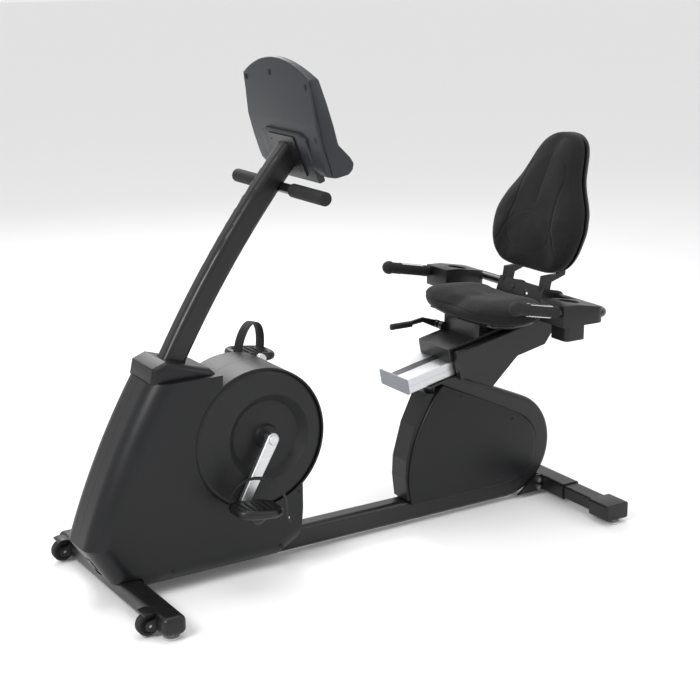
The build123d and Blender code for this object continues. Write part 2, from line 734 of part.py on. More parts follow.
pedal_right = Pos(2 * arm_dx, 0, 2 * arm_dz) * mirrored(pedal_left.part)
save(pedal_right, "pedal_right")

# belt drive, all in one plane to the right of the beam
belt_left = 31.0
belt_width = 14.0
pulley_radius = 115.0
sheave_radius = 22.0
flywheel_x = crank_x - 160.0
flywheel_z = 205.0
flywheel_radius = 105.0
flywheel_half = 14.0
axle_radius = 6.0
belt_gap = 0.3
belt_thick = 2.5

with BuildPart() as drive_pulley:
    add(ring(crank_x, crank_z, belt_left, belt_left + belt_width, pulley_radius, pulley_radius - 12))
    add(ring(crank_x, crank_z, belt_left + 4, belt_left + 10, pulley_radius - 6, 24))
    add(ring(crank_x, crank_z, belt_left - 3, belt_left + belt_width + 3, 28, spindle_radius))
    with BuildSketch(side_plane(belt_left + belt_width)):
        with Locations((crank_x, crank_z)):
            with PolarLocations(66, 6):
                Circle(22)
    extrude(amount=belt_width, mode=Mode.SUBTRACT)
save(drive_pulley.part, "drive_pulley")


def belt_loop(pad):
    """Solid of the belt's outline round both pulleys, pad outside them."""
    with BuildPart() as body:
        with BuildSketch(side_plane(belt_left + belt_width - 1)):
            with Locations((crank_x, crank_z)):
                Circle(pulley_radius + pad)
            with Locations((flywheel_x, flywheel_z)):
                Circle(sheave_radius + pad)
            make_hull()
        extrude(amount=belt_width - 2)
    return body.part


with BuildPart() as drive_belt:
    add(belt_loop(belt_gap + belt_thick))
    add(belt_loop(belt_gap), mode=Mode.SUBTRACT)
save(drive_belt.part, "drive_belt")

# flywheel with the small sheave on its hub, on a fixed axle between two plates
side_left = -26.0
side_right = 54.0
with BuildPart() as flywheel_bracket:
    with BuildSketch(Plane.XY.offset(beam_top)):
        with Locations((flywheel_x, (side_left + side_right) / 2)):
            Rectangle(84, side_right - side_left)
    extrude(amount=sheet)
    for y in (side_left + sheet, side_right):
        with BuildSketch(side_plane(y)):
            Polygon((flywheel_x - 42, beam_top), (flywheel_x + 42, beam_top), (flywheel_x + 20, flywheel_z + 20),
                    (flywheel_x - 20, flywheel_z + 20), align=None)
        extrude(amount=sheet)
    add(ring(flywheel_x, flywheel_z, side_left - 5, side_right + 5, axle_radius, 1.5))
save(flywheel_bracket.part, "flywheel_bracket")

with BuildPart() as flywheel:
    add(ring(flywheel_x, flywheel_z, -flywheel_half, flywheel_half, flywheel_radius, flywheel_radius - 24))
    add(ring(flywheel_x, flywheel_z, -4, 4, flywheel_radius - 20, 12))
    add(ring(flywheel_x, flywheel_z, -18, belt_left + belt_width + 3, 14, axle_radius + running))
    add(ring(flywheel_x, flywheel_z, belt_left, belt_left + belt_width, sheave_radius, 10))
    chamfer(flywheel.edges().filter_by(GeomType.CIRCLE).group_by(SortBy.RADIUS)[-1], 2)
    with BuildSketch(side_plane(10)):
        with Locations((flywheel_x, flywheel_z)):
            with PolarLocations(52, 5):
                Circle(15)
            Circle(axle_radius + running)
    extrude(amount=20, mode=Mode.SUBTRACT)
save(flywheel.part, "flywheel")

# curved arm with the magnets, swung towards and away from the flywheel's rim
shoe_inner = flywheel_radius + 4
shoe_outer = flywheel_radius + 14
with BuildPart() as brake_arm:
    with BuildSketch(side_plane(12)):
        with Locations((flywheel_x, flywheel_z)):
            Circle(shoe_outer)
            Circle(shoe_inner, mode=Mode.SUBTRACT)
        Polygon((flywheel_x, flywheel_z), (flywheel_x - 80, flywheel_z + 150), (flywheel_x + 60, flywheel_z + 190),
                (flywheel_x + 190, flywheel_z + 100), align=None, mode=Mode.INTERSECT)
        with Locations((brake_x, brake_z)):
            Circle(10)
            Circle(pin_radius + running, mode=Mode.SUBTRACT)
    extrude(amount=24)
save(brake_arm.part, "brake_arm")

# ================================================================ console
split_top = (crank_x + 84, 1262)
split_low = (crank_x + 148, 1002)
split_dir = Vector(split_top[1] - split_low[1], 0, split_low[0] - split_top[0]).normalized()
split_plane = Plane(origin=(split_top[0], 0, split_top[1]), x_dir=(0, 1, 0), z_dir=split_dir)


def console_solid(inset):
    """Console body: bent side profile crossed with the arched front outline."""
    with BuildPart() as body:
        with BuildSketch(side_plane(console_half - inset)):
            Polygon((crank_x + 72, 1290), (crank_x + 93, 1294), (crank_x + 107, 1250), (crank_x + 126, 1193), (crank_x + 150, 1118),
                    (crank_x + 159, 1086), (crank_x + 192, 1052), (crank_x + 204, 1026), (crank_x + 196, 1010),
                    (crank_x + 165, 1001), (crank_x + 130, 1011), (crank_x + 112, 1067), (crank_x + 94, 1134),
                    align=None)
            if inset:
                offset(amount=-inset, mode=Mode.REPLACE)
        extrude(amount=2 * (console_half - inset))
        with BuildSketch(along_x(crank_x, 0, 0)):
            with BuildLine():
                edge = console_half - inset
                low = Line((-edge + 20, 1001 + inset), (edge - 20, 1001 + inset))
                right = Polyline(low @ 1, (edge - 9, 1040), (edge, 1130), (edge - 9, 1241 - inset))
                arch = ThreePointArc(right @ 1, (0, 1286 - inset), (-edge + 9, 1241 - inset))
                Polyline(arch @ 1, (-edge, 1130), (-edge + 9, 1040), low @ 0)
            make_face()
        extrude(amount=300, mode=Mode.INTERSECT)
    return body.part


console_outer = console_solid(0)
console_inner = console_solid(wall)
pad_half = 112.0
pad_height = 130.0

with BuildPart() as console_back:
    add(console_outer)
    add(console_inner, mode=Mode.SUBTRACT)
    with BuildSketch(plate_plane):
        with Locations((0, -6)):
            RectangleRounded(2 * pad_half, pad_height, 10)
    extrude(amount=12)
    with BuildSketch(split_plane.offset(-gap / 2)):
        Rectangle(900, 1200)
    extrude(amount=300, mode=Mode.SUBTRACT)
    with BuildSketch(plate_plane):
        Rectangle(2 * pad_half + 1, 3 * pad_height)
    extrude(amount=-80, mode=Mode.SUBTRACT)
    with BuildSketch(plate_plane):
        with Locations(*plate_screw_at):
            Circle(screw_radius)
    extrude(amount=8, mode=Mode.SUBTRACT)
save(console_back.part, "console_back")

upper_dir = Vector(75, 0, 24).normalized()
lens_plane = Plane(origin=(crank_x + 138, 0, 1155.5), x_dir=(0, 1, 0), z_dir=upper_dir)
keys_dir = Vector(34, 0, 33).normalized()
keys_plane = Plane(origin=(crank_x + 175.5, 0, 1069), x_dir=(0, 1, 0), z_dir=keys_dir)
lens_size = (216.0, 62.0)
keys_size = (190.0, 32.0)
key_radius = 8.0
key_at = [(-66, 0), (-33, 0), (0, 0), (33, 0), (66, 0)]

with BuildPart() as console_front:
    add(console_outer)
    add(console_inner, mode=Mode.SUBTRACT)
    with BuildSketch(split_plane.offset(gap / 2)):
        Rectangle(900, 1200)
    extrude(amount=-300, mode=Mode.SUBTRACT)
    # ledge that holds a book
    with BuildSketch(side_plane(70)):
        Polygon((crank_x + 148, 1118), (crank_x + 164, 1121), (crank_x + 165, 1113), (crank_x + 151, 1110), align=None)
    extrude(amount=140)
    # window and the shallow seats for the lens and the key mat
    with BuildSketch(lens_plane):
        RectangleRounded(lens_size[0] + gap, lens_size[1] + gap, 8)
    extrude(amount=-1.6, mode=Mode.SUBTRACT)
    with BuildSketch(lens_plane):
        RectangleRounded(lens_size[0] - 10, lens_size[1] - 10, 5)
    extrude(amount=-12, mode=Mode.SUBTRACT)
    with BuildSketch(keys_plane):
        RectangleRounded(keys_size[0] + gap, keys_size[1] + gap, 8)
    extrude(amount=-1.6, mode=Mode.SUBTRACT)
save(console_front.part, "console_front")

with BuildPart() as console_lens:
    with BuildSketch(lens_plane.offset(-1.6)):
        RectangleRounded(lens_size[0] - gap, lens_size[1] - gap, 7.6)
    extrude(amount=1.6)
save(console_lens.part, "console_lens")

with BuildPart() as console_keys:
    with BuildSketch(keys_plane.offset(-1.6)):
        RectangleRounded(keys_size[0] - gap, keys_size[1] - gap, 7.6)
    extrude(amount=1.8)
    with BuildSketch(keys_plane.offset(0.2)):
        with Locations(*key_at):
            Circle(key_radius)
    extrude(amount=2.4)
    fillet(console_keys.faces().sort_by(lambda f: f.center().dot(keys_dir))[-5:].edges(), 1)
save(console_keys.part, "console_keys")

# bar across the mast, notched round its rider side
console_bar_at = (crank_x + 89.0, 969.0)
console_bar_half = 214.0
sleeve_start = 66.0
with BuildPart() as console_bar:
    with BuildSketch(along_y(console_bar_at[0], 0, console_bar_at[1])):
        Circle(bar_radius)
        Circle(bar_radius - 1.8, mode=Mode.SUBTRACT)
    extrude(amount=console_bar_half, both=True)
    add(mast_outer, mode=Mode.SUBTRACT)
save(console_bar.part, "console_bar")

with BuildPart() as foam_sleeve:
    with BuildSketch(along_y(console_bar_at[0], sleeve_start, console_bar_at[1])):
        Circle(17)
    extrude(amount=console_bar_half + 5 - sleeve_start)
    fillet(foam_sleeve.edges().filter_by(GeomType.CIRCLE), 3)
    with BuildSketch(along_y(console_bar_at[0], sleeve_start, console_bar_at[1])):
        Circle(bar_radius + running)
    extrude(amount=console_bar_half + gap - sleeve_start, mode=Mode.SUBTRACT)
save(Compound(children=[foam_sleeve.part, mirrored(foam_sleeve.part)]), "console_bar_sleeves")

# ================================================================ seat rail and cradle
cradle_start = 150.0
cradle_end = 475.0
side_in = carriage_half + 2.0
side_out = 90.0
side_top = 72.0
side_low = -8.0
# tube from the beam up to the front of the cradle
post_low = (crank_x + 512, beam_top)
post_high = (crank_x + 566, 400)


def seat_post_solid(grow):
    axis = Vector(post_high[0] - post_low[0], 0, post_high[1] - post_low[1]).normalized()
    with BuildPart() as body:
        with BuildSketch(Plane(origin=(post_low[0] - 20 * axis.X, 0, post_low[1] - 20 * axis.Z),
                               x_dir=(0, 1, 0), z_dir=axis)):
            RectangleRounded(46 + 2 * grow, 36 + 2 * grow, 6)
        extrude(amount=420)
    return body.part


with BuildPart() as seat_post:
    add(seat_post_solid(0))
    add(seat_post_solid(-3), mode=Mode.SUBTRACT)
    with BuildSketch(Plane.XY.offset(beam_top)):
        with Locations((post_low[0], 0)):
            Rectangle(300, 300)
    extrude(amount=-100, mode=Mode.SUBTRACT)
    with BuildSketch(rail_plane(-200, -sheet)):
        Rectangle(1600, 300)
    extrude(amount=400, mode=Mode.SUBTRACT)
    add(loop_solid(gap), mode=Mode.SUBTRACT)

# gusset between the loop and the back of the cradle
with BuildPart() as gusset:
    with BuildSketch(side_plane(22)):
        Polygon(rail_point(160, -sheet / 2), rail_point(462, -sheet / 2), (crank_x + 739, 344), (crank_x + 733, 330),
                (crank_x + 610, 390), align=None)
    extrude(amount=44)
    with BuildSketch(side_plane(19)):
        Polygon(rail_point(160, -sheet / 2), rail_point(452, -sheet / 2), (crank_x + 736, 350), (crank_x + 730, 320),
                (crank_x + 600, 380), align=None)
    extrude(amount=38, mode=Mode.SUBTRACT)
    add(loop_solid(gap), mode=Mode.SUBTRACT)

# tray that holds the rail, with a boxed side beam on each side, welded on top of the post
with BuildPart() as cradle:
    with BuildSketch(rail_plane(60, -sheet)):
        with Locations(((cradle_end - 60) / 2, 0)):
            Rectangle(cradle_end - 60, 2 * side_in + 2)
    extrude(amount=sheet)
    for side in (-1, 1):
        with BuildSketch(rail_plane(cradle_start, side_low, side * (side_in + side_out) / 2)):
            with Locations(((cradle_end - cradle_start) / 2, 0)):
                Rectangle(cradle_end - cradle_start, side_out - side_in)
        extrude(amount=side_top - side_low)
    long_top = [e for e in cradle.edges() if abs((rail_plane(0).to_local_coords(e.center())).Z - side_top) < 0.1
                and e.length > 100]
    fillet(long_top, 8)
    # lower corner cut off at the back
    corner = [rail_point(cradle_end + 1, side_low - 1), rail_point(cradle_end + 1, side_low + 30),
              rail_point(cradle_end - 34, side_low - 1)]
    with BuildSketch(side_plane(200)):
        Polygon(*corner, align=None)
    extrude(amount=400, mode=Mode.SUBTRACT)
    add(seat_post.part)
    add(gusset.part)
save(cradle.part, "cradle")

with BuildPart() as seat_rail:
    with BuildSketch(Plane(origin=rail_plane(0).origin, x_dir=(0, 1, 0), z_dir=rail_plane(0).x_dir)):
        with Locations((0, rail_height / 2)):
            RectangleRounded(2 * rail_half, rail_height, 4)
            RectangleRounded(2 * rail_half - 6, rail_height - 6, 2, mode=Mode.SUBTRACT)
        with Locations((0, rail_height)):
            Rectangle(30, 2, mode=Mode.SUBTRACT)
        for side in (-1, 1):
            with Locations((side * rail_half, rail_height / 2 + 4)):
                Rectangle(2, 8, mode=Mode.SUBTRACT)
    extrude(amount=rail_length)
    # holes for the lock pin
    pin_s = carriage_front + carriage_length / 2
    with BuildSketch(rail_plane(0, rail_height)):
        with Locations(*[(pin_s + lock_pitch * i, 0) for i in range(-6, 6)]):
            Circle(pin_radius + 1)
    extrude(amount=-8, mode=Mode.SUBTRACT)
save(seat_rail.part, "seat_rail")

with BuildPart() as rail_end_plate:
    with BuildSketch(Plane(origin=rail_plane(-sheet).origin, x_dir=(0, 1, 0), z_dir=rail_plane(0).x_dir)):
        with Locations((0, rail_height / 2)):
            RectangleRounded(2 * rail_half + 2, rail_height + 2, 5)
    extrude(amount=sheet)
save(rail_end_plate.part, "rail_end_plate")

# ================================================================ cover under the seat
cover_half = 40.0
cover_screw_at = [(crank_x + 530, 82), (crank_x + 625, 348), (crank_x + 808, 252), (crank_x + 752, 82)]


def cover_solid(inset):
    with BuildPart() as body:
        with BuildSketch(side_plane(cover_half - inset)) as outline:
            Polygon((crank_x + 533, 352), (crank_x + 561, 397), (crank_x + 837, 264), (crank_x + 900, 185),
                    (crank_x + 869, 81), (crank_x + 811, 57), (crank_x + 467, 61), (crank_x + 457, 150),
                    (crank_x + 470, 226), align=None)
            fillet(outline.vertices(), 12)
            if inset:
                offset(amount=-inset, mode=Mode.REPLACE)
        extrude(amount=2 * (cover_half - inset))
        fillet(body.faces().filter_by(Axis.Y).edges(), 9 - inset)
    return body.part


frame_clearance = loop_solid(0.6)
beam_clearance = extrude(
    along_x(0, 0, beam_centre_z) * RectangleRounded(beam_width + 1.2, beam_height + 1.2, 14.6), loop_x)
cradle_clearance = extrude(rail_plane(200, -sheet - 1) * Rectangle(500, 200), 200)

with BuildPart() as rear_cover_left:
    add(cover_solid(0))
    add(cover_solid(wall), mode=Mode.SUBTRACT)
    with Locations((crank_x + 700, 200 - seam / 2, 300)):
        Box(900, 400, 900, mode=Mode.SUBTRACT)
    add(frame_clearance, mode=Mode.SUBTRACT)
    add(beam_clearance, mode=Mode.SUBTRACT)
    add(cradle_clearance, mode=Mode.SUBTRACT)
    add(seat_post_solid(1), mode=Mode.SUBTRACT)
    with BuildSketch(side_plane(-cover_half + 6)):
        with Locations(*cover_screw_at):
            Circle(screw_radius + 0.2)
    extrude(amount=20, mode=Mode.SUBTRACT)
    # line that marks off the border along the top
    with BuildSketch(side_plane(-cover_half + 0.8)):
        Polygon((crank_x + 571, 372), (crank_x + 840, 229), (crank_x + 839.3, 227.7), (crank_x + 570.3, 370.7), align=None)
    extrude(amount=5, mode=Mode.SUBTRACT)
save(rear_cover_left.part, "rear_cover_left")
save(mirrored(rear_cover_left.part), "rear_cover_right")

panel_half = 33.0
with BuildPart() as rear_cover_front:
    with BuildSketch(side_plane(panel_half)):
        Polygon((crank_x + 518, 372), (crank_x + 476, 286), (crank_x + 450, 192), (crank_x + 448, 140),
                (crank_x + 456, 77), (crank_x + 464, 77), (crank_x + 456.4, 150), (crank_x + 469.2, 226.4),
                (crank_x + 532, 352.6), (crank_x + 541, 368), align=None)
    extrude(amount=2 * panel_half)
    add(cover_solid(0), mode=Mode.SUBTRACT)
save(rear_cover_front.part, "rear_cover_front")

# ================================================================ seat carriage
carriage_low = rail_height + 0.5
carriage_top = carriage_low + carriage_height
pan_bottom = 560.0
pan_top = 566.0
pan_front = crank_x + 648
pan_back = crank_x + 862
lever_pivot = (rail_point(222, carriage_top + 8)[0], rail_point(222, carriage_top + 8)[1])
lever_pin = 5.0
with BuildPart() as seat_carriage:
    with BuildSketch(rail_plane(carriage_front, carriage_low)):
        with Locations((carriage_length / 2, 0)):
            RectangleRounded(carriage_length, 2 * carriage_half, 6)
    extrude(amount=carriage_height)
    with BuildSketch(rail_plane(carriage_front, carriage_low)):
        with Locations((carriage_length / 2, 0)):
            RectangleRounded(carriage_length - 6, 2 * carriage_half - 6, 3)
    extrude(amount=carriage_height - 3, mode=Mode.SUBTRACT)
    # front riser and rear prop under the pan
    with BuildSketch(side_plane(carriage_half)):
        Polygon((crank_x + 645, rail_point(231, carriage_top)[1] - 1), (crank_x + 660, rail_point(247, carriage_top)[1] - 1),
                (crank_x + 660, pan_bottom + 1), (crank_x + 645, pan_bottom + 1), align=None)
    extrude(amount=2 * carriage_half)
    with BuildSketch(side_plane(30)):
        Polygon((crank_x + 758, rail_point(346, carriage_top)[1] - 2), (crank_x + 770, rail_point(358, carriage_top)[1] - 2),
                (crank_x + 770, pan_bottom + 1), (crank_x + 758, pan_bottom + 1), align=None)
    extrude(amount=60)
    with BuildSketch(Plane.XY.offset(pan_bottom)):
        with Locations(((pan_front + pan_back) / 2, 0)):
            RectangleRounded(pan_back - pan_front, 300, 12)
    extrude(amount=pan_top - pan_bottom)
    # bore for the lock pin, pivot for the lever
    with BuildSketch(rail_plane(pin_s, carriage_low)):
        Circle(pin_radius + running)
    extrude(amount=carriage_height + 1, mode=Mode.SUBTRACT)
    with BuildSketch(along_y(lever_pivot[0], carriage_half - 8, lever_pivot[1])):
        Circle(lever_pin)
    extrude(amount=44)
    with BuildSketch(along_y(lever_pivot[0], carriage_half - 8, lever_pivot[1])):
        Circle(12)
    extrude(amount=14)
save(seat_carriage.part, "seat_carriage")

with BuildPart() as lock_pin:
    with BuildSketch(rail_plane(pin_s, rail_height + 1)):
        Circle(pin_radius)
    extrude(amount=carriage_height + 14)
    with BuildSketch(rail_plane(pin_s, carriage_top + 11)):
        Circle(6)
    extrude(amount=4)
save(lock_pin.part, "lock_pin")

lever_y = 96.0
lever_thick = 7.0
with BuildPart() as seat_lever:
    px, pz = lever_pivot
    with BuildSketch(side_plane(lever_y + lever_thick)):
        with Locations((px, pz)):
            Circle(11)
        Polygon((px - 2, pz + 10.5), (px - 46, 547), (px - 88, 541), (px - 150, 539), (px - 150, 528),
                (px - 88, 530), (px - 48, 534), (px - 4, pz - 10), align=None)
    extrude(amount=lever_thick)
    with BuildSketch(along_x(px - 154, lever_y + lever_thick / 2, 533.5)):
        RectangleRounded(12, 17, 5)
    extrude(amount=70)
    fillet(seat_lever.faces().sort_by(Axis.X)[0].edges(), 4)
    with BuildSketch(side_plane(lever_y + lever_thick)):
        with Locations((px, pz)):
            Circle(11)
    extrude(amount=lever_thick + 10)
    with BuildSketch(side_plane(lever_y + lever_thick + 1)):
        with Locations((px, pz)):
            Circle(lever_pin + running)
    extrude(amount=lever_thick + 14, mode=Mode.SUBTRACT)
save(seat_lever.part, "seat_lever")

# ================================================================ seat and backrest
soft_gap = 0.4
with BuildPart() as seat_cushion:
    with BuildSketch(side_plane(seat_half - 5)):
        Polygon((crank_x + 622, 556), (crank_x + 630, 550), (crank_x + 643, 552), (crank_x + 645.5, pan_top + soft_gap),
                (crank_x + 838, pan_top + soft_gap), (crank_x + 838, 600), (crank_x + 825, 611),
                (crank_x + 690, 616), (crank_x + 648, 610), (crank_x + 624, 584), align=None)
    extrude(amount=2 * (seat_half - 5))
    upright_edges = [e for e in seat_cushion.edges() if abs(abs(e.center().Y) - seat_half + 5) < 0.1
                     and e.center().Z > 590]
    fillet(upright_edges, 14)
save(seat_cushion.part, "seat_cushion")

back_low, back_mid, back_high = 667.0, 815.0, 1042.0
back_front = (crank_x + 851, crank_x + 875, crank_x + 977)


def backrest_x(z):
    """X of the backrest's front face on the centre plane at height z."""
    if z < back_mid:
        return back_front[0] + (back_front[1] - back_front[0]) * (z - back_low) / (back_mid - back_low)
    return back_front[1] + (back_front[2] - back_front[1]) * (z - back_mid) / (back_high - back_mid)


def backrest_solid(front, back, inset):
    """Slice of the backrest between two offsets behind its front face."""
    heights = (back_low + inset, back_mid, back_high - inset)
    with BuildPart() as body:
        with BuildSketch(side_plane(300)):
            Polygon(*[(backrest_x(z) + front, z) for z in heights],
                    *[(backrest_x(z) + back, z) for z in reversed(heights)], align=None)
        extrude(amount=600)
        with BuildSketch(along_x(crank_x + 700, 0, 0)):
            with BuildLine():
                side = [(108, back_low - 2), (150, 694), (173, 740), (181, 792), (170, 845), (132, 896),
                        (110, 932), (94, 980), (70, 1020), (32, back_high + 1)]
                right = Spline(*[(y - inset, z) for y, z in side])
                top = Line(right @ 1, (inset - 32, back_high + 1))
                left = Spline(*[(inset - y, z) for y, z in reversed(side)])
                Line(left @ 1, right @ 0)
            make_face()
        extrude(amount=500, mode=Mode.INTERSECT)
    return body.part


cushion_depth = 50.0
shell_depth = 34.0
post_in = 75.0
post_out = 87.0
bar_at = (crank_x + 918.0, 598.0)


def back_post(side, grow):
    """Flat bent bar from the pan up behind the backrest cushion, with an eye for the handlebar."""
    y = side * (post_in + post_out) / 2 + (post_out - post_in) / 2 + grow
    with BuildPart() as body:
        with BuildSketch(side_plane(y)) as outline:
            Polygon((crank_x + 842, pan_top), (crank_x + 861, pan_top), (crank_x + 880, 582), (bar_at[0] - 2, bar_at[1] - 19),
                    (bar_at[0], bar_at[1] + 19), (crank_x + 888, 624), (crank_x + 893, 645), (crank_x + 940, 660),
                    (crank_x + 954, 760), (crank_x + 930, 760), (crank_x + 916, 666), (crank_x + 862, 664),
                    (crank_x + 858, 640), align=None)
            if grow:
                offset(amount=grow, mode=Mode.REPLACE)
            with Locations(bar_at):
                Circle(19)
        extrude(amount=post_out - post_in + 2 * grow)
    return body.part


with BuildPart() as back_frame:
    for side in (-1, 1):
        add(back_post(side, 0))
    with BuildSketch(side_plane(98)):
        Polygon((crank_x + 842, 588), (crank_x + 848, 586), (crank_x + 864, 634), (crank_x + 859, 636), align=None)
    extrude(amount=196)
    with BuildSketch(along_x(crank_x + 820, 0, 0)):
        with Locations((-30, 611), (30, 611)):
            Circle(8)
    extrude(amount=70, mode=Mode.SUBTRACT)
    with BuildSketch(side_plane(120)):
        with Locations(bar_at):
            Circle(bar_radius + running)
    extrude(amount=240, mode=Mode.SUBTRACT)
save(back_frame.part, "back_frame")

save(backrest_solid(0, cushion_depth, 0), "backrest_cushion")

with BuildPart() as backrest_shell:
    add(backrest_solid(cushion_depth + soft_gap, cushion_depth + shell_depth, 4))
    add(backrest_solid(cushion_depth + soft_gap + wall, cushion_depth + shell_depth - wall, 4 + wall), mode=Mode.SUBTRACT)
    for side in (-1, 1):
        add(back_post(side, 0.5), mode=Mode.SUBTRACT)
save(backrest_shell.part, "backrest_shell")

# ================================================================ U handlebar
grip_tip = (crank_x + 608, 650)
grip_bend = (crank_x + 803, 612)
bar_path = [(grip_tip[0], -grip_y, grip_tip[1]), (grip_bend[0], -grip_y, grip_bend[1]), (bar_at[0], -grip_y, bar_at[1]),
            (bar_at[0], grip_y, bar_at[1]), (grip_bend[0], grip_y, grip_bend[1]), (grip_tip[0], grip_y, grip_tip[1])]


def bar_solid(radius):
    """The bent bar as a solid of the given radius."""
    with BuildPart() as body:
        with BuildLine() as path:
            FilletPolyline(*bar_path, radius=42)
        start = path.wires()[0]
        with BuildSketch(Plane(origin=start @ 0, z_dir=start % 0)):
            Circle(radius)
        sweep(path=start)
    return body.part


with BuildPart() as handlebar:
    add(bar_solid(bar_radius))
    add(bar_solid(bar_radius - 2), mode=Mode.SUBTRACT)
save(handlebar.part, "handlebar")

grip_dir = Vector(grip_bend[0] - grip_tip[0], 0, grip_bend[1] - grip_tip[1]).normalized()
grip_length = 136.0
ball_radius = 19.0


def grip_plane(along):
    """Cross-section of the left grip, along from its tip; sketch y is up."""
    return Plane(origin=(grip_tip[0] + grip_dir.X * along, -grip_y, grip_tip[1] + grip_dir.Z * along),
                 x_dir=(0, 1, 0), z_dir=grip_dir)


with BuildPart() as grip_left:
    bore = bar_radius + running
    grip_end = grip_length - 2
    grip_origin = (grip_tip[0], -grip_y, grip_tip[1])
    with BuildSketch(Plane(origin=grip_origin, x_dir=grip_dir, z_dir=(0, -1, 0))):
        with BuildLine():
            meet = sqrt(ball_radius ** 2 - grip_radius ** 2)
            cap = ThreePointArc((-ball_radius, 0), (-ball_radius * cos(radians(60)), ball_radius * sin(radians(60))),
                                (meet, grip_radius))
            Polyline(cap @ 1, (grip_end, grip_radius), (grip_end, bore), (-gap, bore), (-gap, 0), cap @ 0)
        make_face()
    revolve(axis=Axis(grip_origin, grip_dir))
save(Compound(children=[grip_left.part, mirrored(grip_left.part)]), "handle_grips")

with BuildPart() as pulse_left:
    with BuildSketch(grip_plane(38)) as arc:
        Circle(grip_radius + 1.4)
        Circle(grip_radius + running, mode=Mode.SUBTRACT)
        Polygon((-30, 40), (30, 40), (0, 0), (30, -40), (-30, -40), (0, 0), align=None, mode=Mode.INTERSECT)
    extrude(amount=74)
pulse_all = pulse_left.part.solids() + mirrored(pulse_left.part).solids()
save(Compound(children=pulse_all), "pulse_plates")

well_radius = 27.0
well_at = (crank_x + 818, -249)
well_floor = 540.0
with BuildPart() as side_housing_left:
    with BuildSketch(side_plane(-212)):
        Polygon((crank_x + 752, 640), (crank_x + 800, 638), (crank_x + 886, 622), (crank_x + 897, 610),
                (crank_x + 892, 580), (crank_x + 752, 582), align=None)
    extrude(amount=96)
    with BuildSketch(Plane.XY.offset(560)):
        with Locations((crank_x + 800, -260)):
            RectangleRounded(196, 96, 30)
    extrude(amount=100, mode=Mode.INTERSECT)
    # box of the cup well
    with BuildSketch(Plane.XY.offset(well_floor - 6)):
        with Locations((well_at[0], -249)):
            RectangleRounded(68, 68, 12)
    extrude(amount=56)
    with BuildSketch(Plane.XY.offset(well_floor)):
        with Locations(well_at):
            Circle(well_radius)
    extrude(amount=200, mode=Mode.SUBTRACT)
    add(bar_solid(bar_radius + running), mode=Mode.SUBTRACT)
save(side_housing_left.part, "side_housing_left")
save(mirrored(side_housing_left.part), "side_housing_right")

# ================================================================ fasteners
bolts = []
for y in (-joint_holes[0] / 2, joint_holes[0] / 2):
    for n in (-joint_holes[1] / 2, joint_holes[1] / 2):
        spot = joint_plane.offset(joint_plate).from_local_coords((y, n, 0))
        bolts.append(fastener(spot, foot_dir, bolt_head, bolt_head_height, bolt_radius, 2 * joint_plate + 8))
for side in (-1, 1):
    for x, z in bracket_bolt_at:
        bolts.append(fastener((x, side * bracket_half, z), (0, side, 0), bolt_head, bolt_head_height,
                              bolt_radius, bracket_half - beam_width / 2 - 1))
save(Compound(children=bolts), "frame_bolts")

screws = []
for side in (-1, 1):
    for x, z in shroud_screw_at:
        screws.append(fastener((x, side * shroud_half, z), (0, side, 0), screw_head, screw_head_height, screw_radius, 7))
    for x, z in cover_screw_at:
        screws.append(fastener((x, side * cover_half, z), (0, side, 0), screw_head, screw_head_height, screw_radius, 7))
for y, n in plate_screw_at:
    spot = plate_plane.offset(-sheet).from_local_coords((y, n, 0))
    screws.append(fastener(spot, -plate_dir, screw_head, screw_head_height, screw_radius - 0.05, 7 + sheet))
save(Compound(children=screws), "cover_screws")
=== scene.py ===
import math
import bmesh
import bpy
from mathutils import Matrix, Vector


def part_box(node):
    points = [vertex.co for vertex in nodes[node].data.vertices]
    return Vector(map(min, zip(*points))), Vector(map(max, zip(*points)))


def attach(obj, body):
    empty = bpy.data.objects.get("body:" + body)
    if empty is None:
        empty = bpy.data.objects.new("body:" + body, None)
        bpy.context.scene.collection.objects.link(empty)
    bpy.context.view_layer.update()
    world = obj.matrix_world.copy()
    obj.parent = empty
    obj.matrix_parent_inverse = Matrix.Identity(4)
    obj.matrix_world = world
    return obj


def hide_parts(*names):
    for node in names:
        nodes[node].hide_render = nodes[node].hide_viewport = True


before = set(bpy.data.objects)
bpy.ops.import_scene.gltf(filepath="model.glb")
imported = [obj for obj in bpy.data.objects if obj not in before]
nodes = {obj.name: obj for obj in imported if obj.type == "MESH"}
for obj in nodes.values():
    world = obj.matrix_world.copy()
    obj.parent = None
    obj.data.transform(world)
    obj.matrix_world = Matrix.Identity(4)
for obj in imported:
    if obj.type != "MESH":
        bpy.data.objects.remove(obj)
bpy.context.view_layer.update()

scene = bpy.context.scene

# ---------------------------------------------------------------- camera
YAW, PITCH = math.radians(32.79), math.radians(15.79)
LOOK = Vector((math.sin(YAW) * math.cos(PITCH), math.cos(YAW) * math.cos(PITCH), -math.sin(PITCH)))
camera_data = bpy.data.cameras.new("camera")
camera_data.sensor_width = 36
camera_data.lens = 78.04
camera_data.shift_x = -0.0207
camera_data.shift_y = 0.0108
camera = bpy.data.objects.new("camera", camera_data)
camera.location = (-2.0280, -3.2290, 1.5802)
camera.rotation_euler = LOOK.to_track_quat("-Z", "Y").to_euler()
scene.collection.objects.link(camera)
scene.camera = camera

# the machine's own lengths, in metres
CRANK_X, CRANK_Z = -0.2851, 0.358
RAIL = math.radians(11.5)
RAIL_X, RAIL_Z = CRANK_X + 0.439, 0.392
GROOVE_HALF = 0.015      # half-width of the rail's top groove
GROOVE_FLOOR = 0.040     # its floor above the rail's underside
CRANK_LENGTH = 0.17
CRANK_ANGLE = math.radians(61)
PEDAL_Y = 0.162          # middle of a pedal from the machine's middle plane
PEDAL_TILT = math.radians(7)

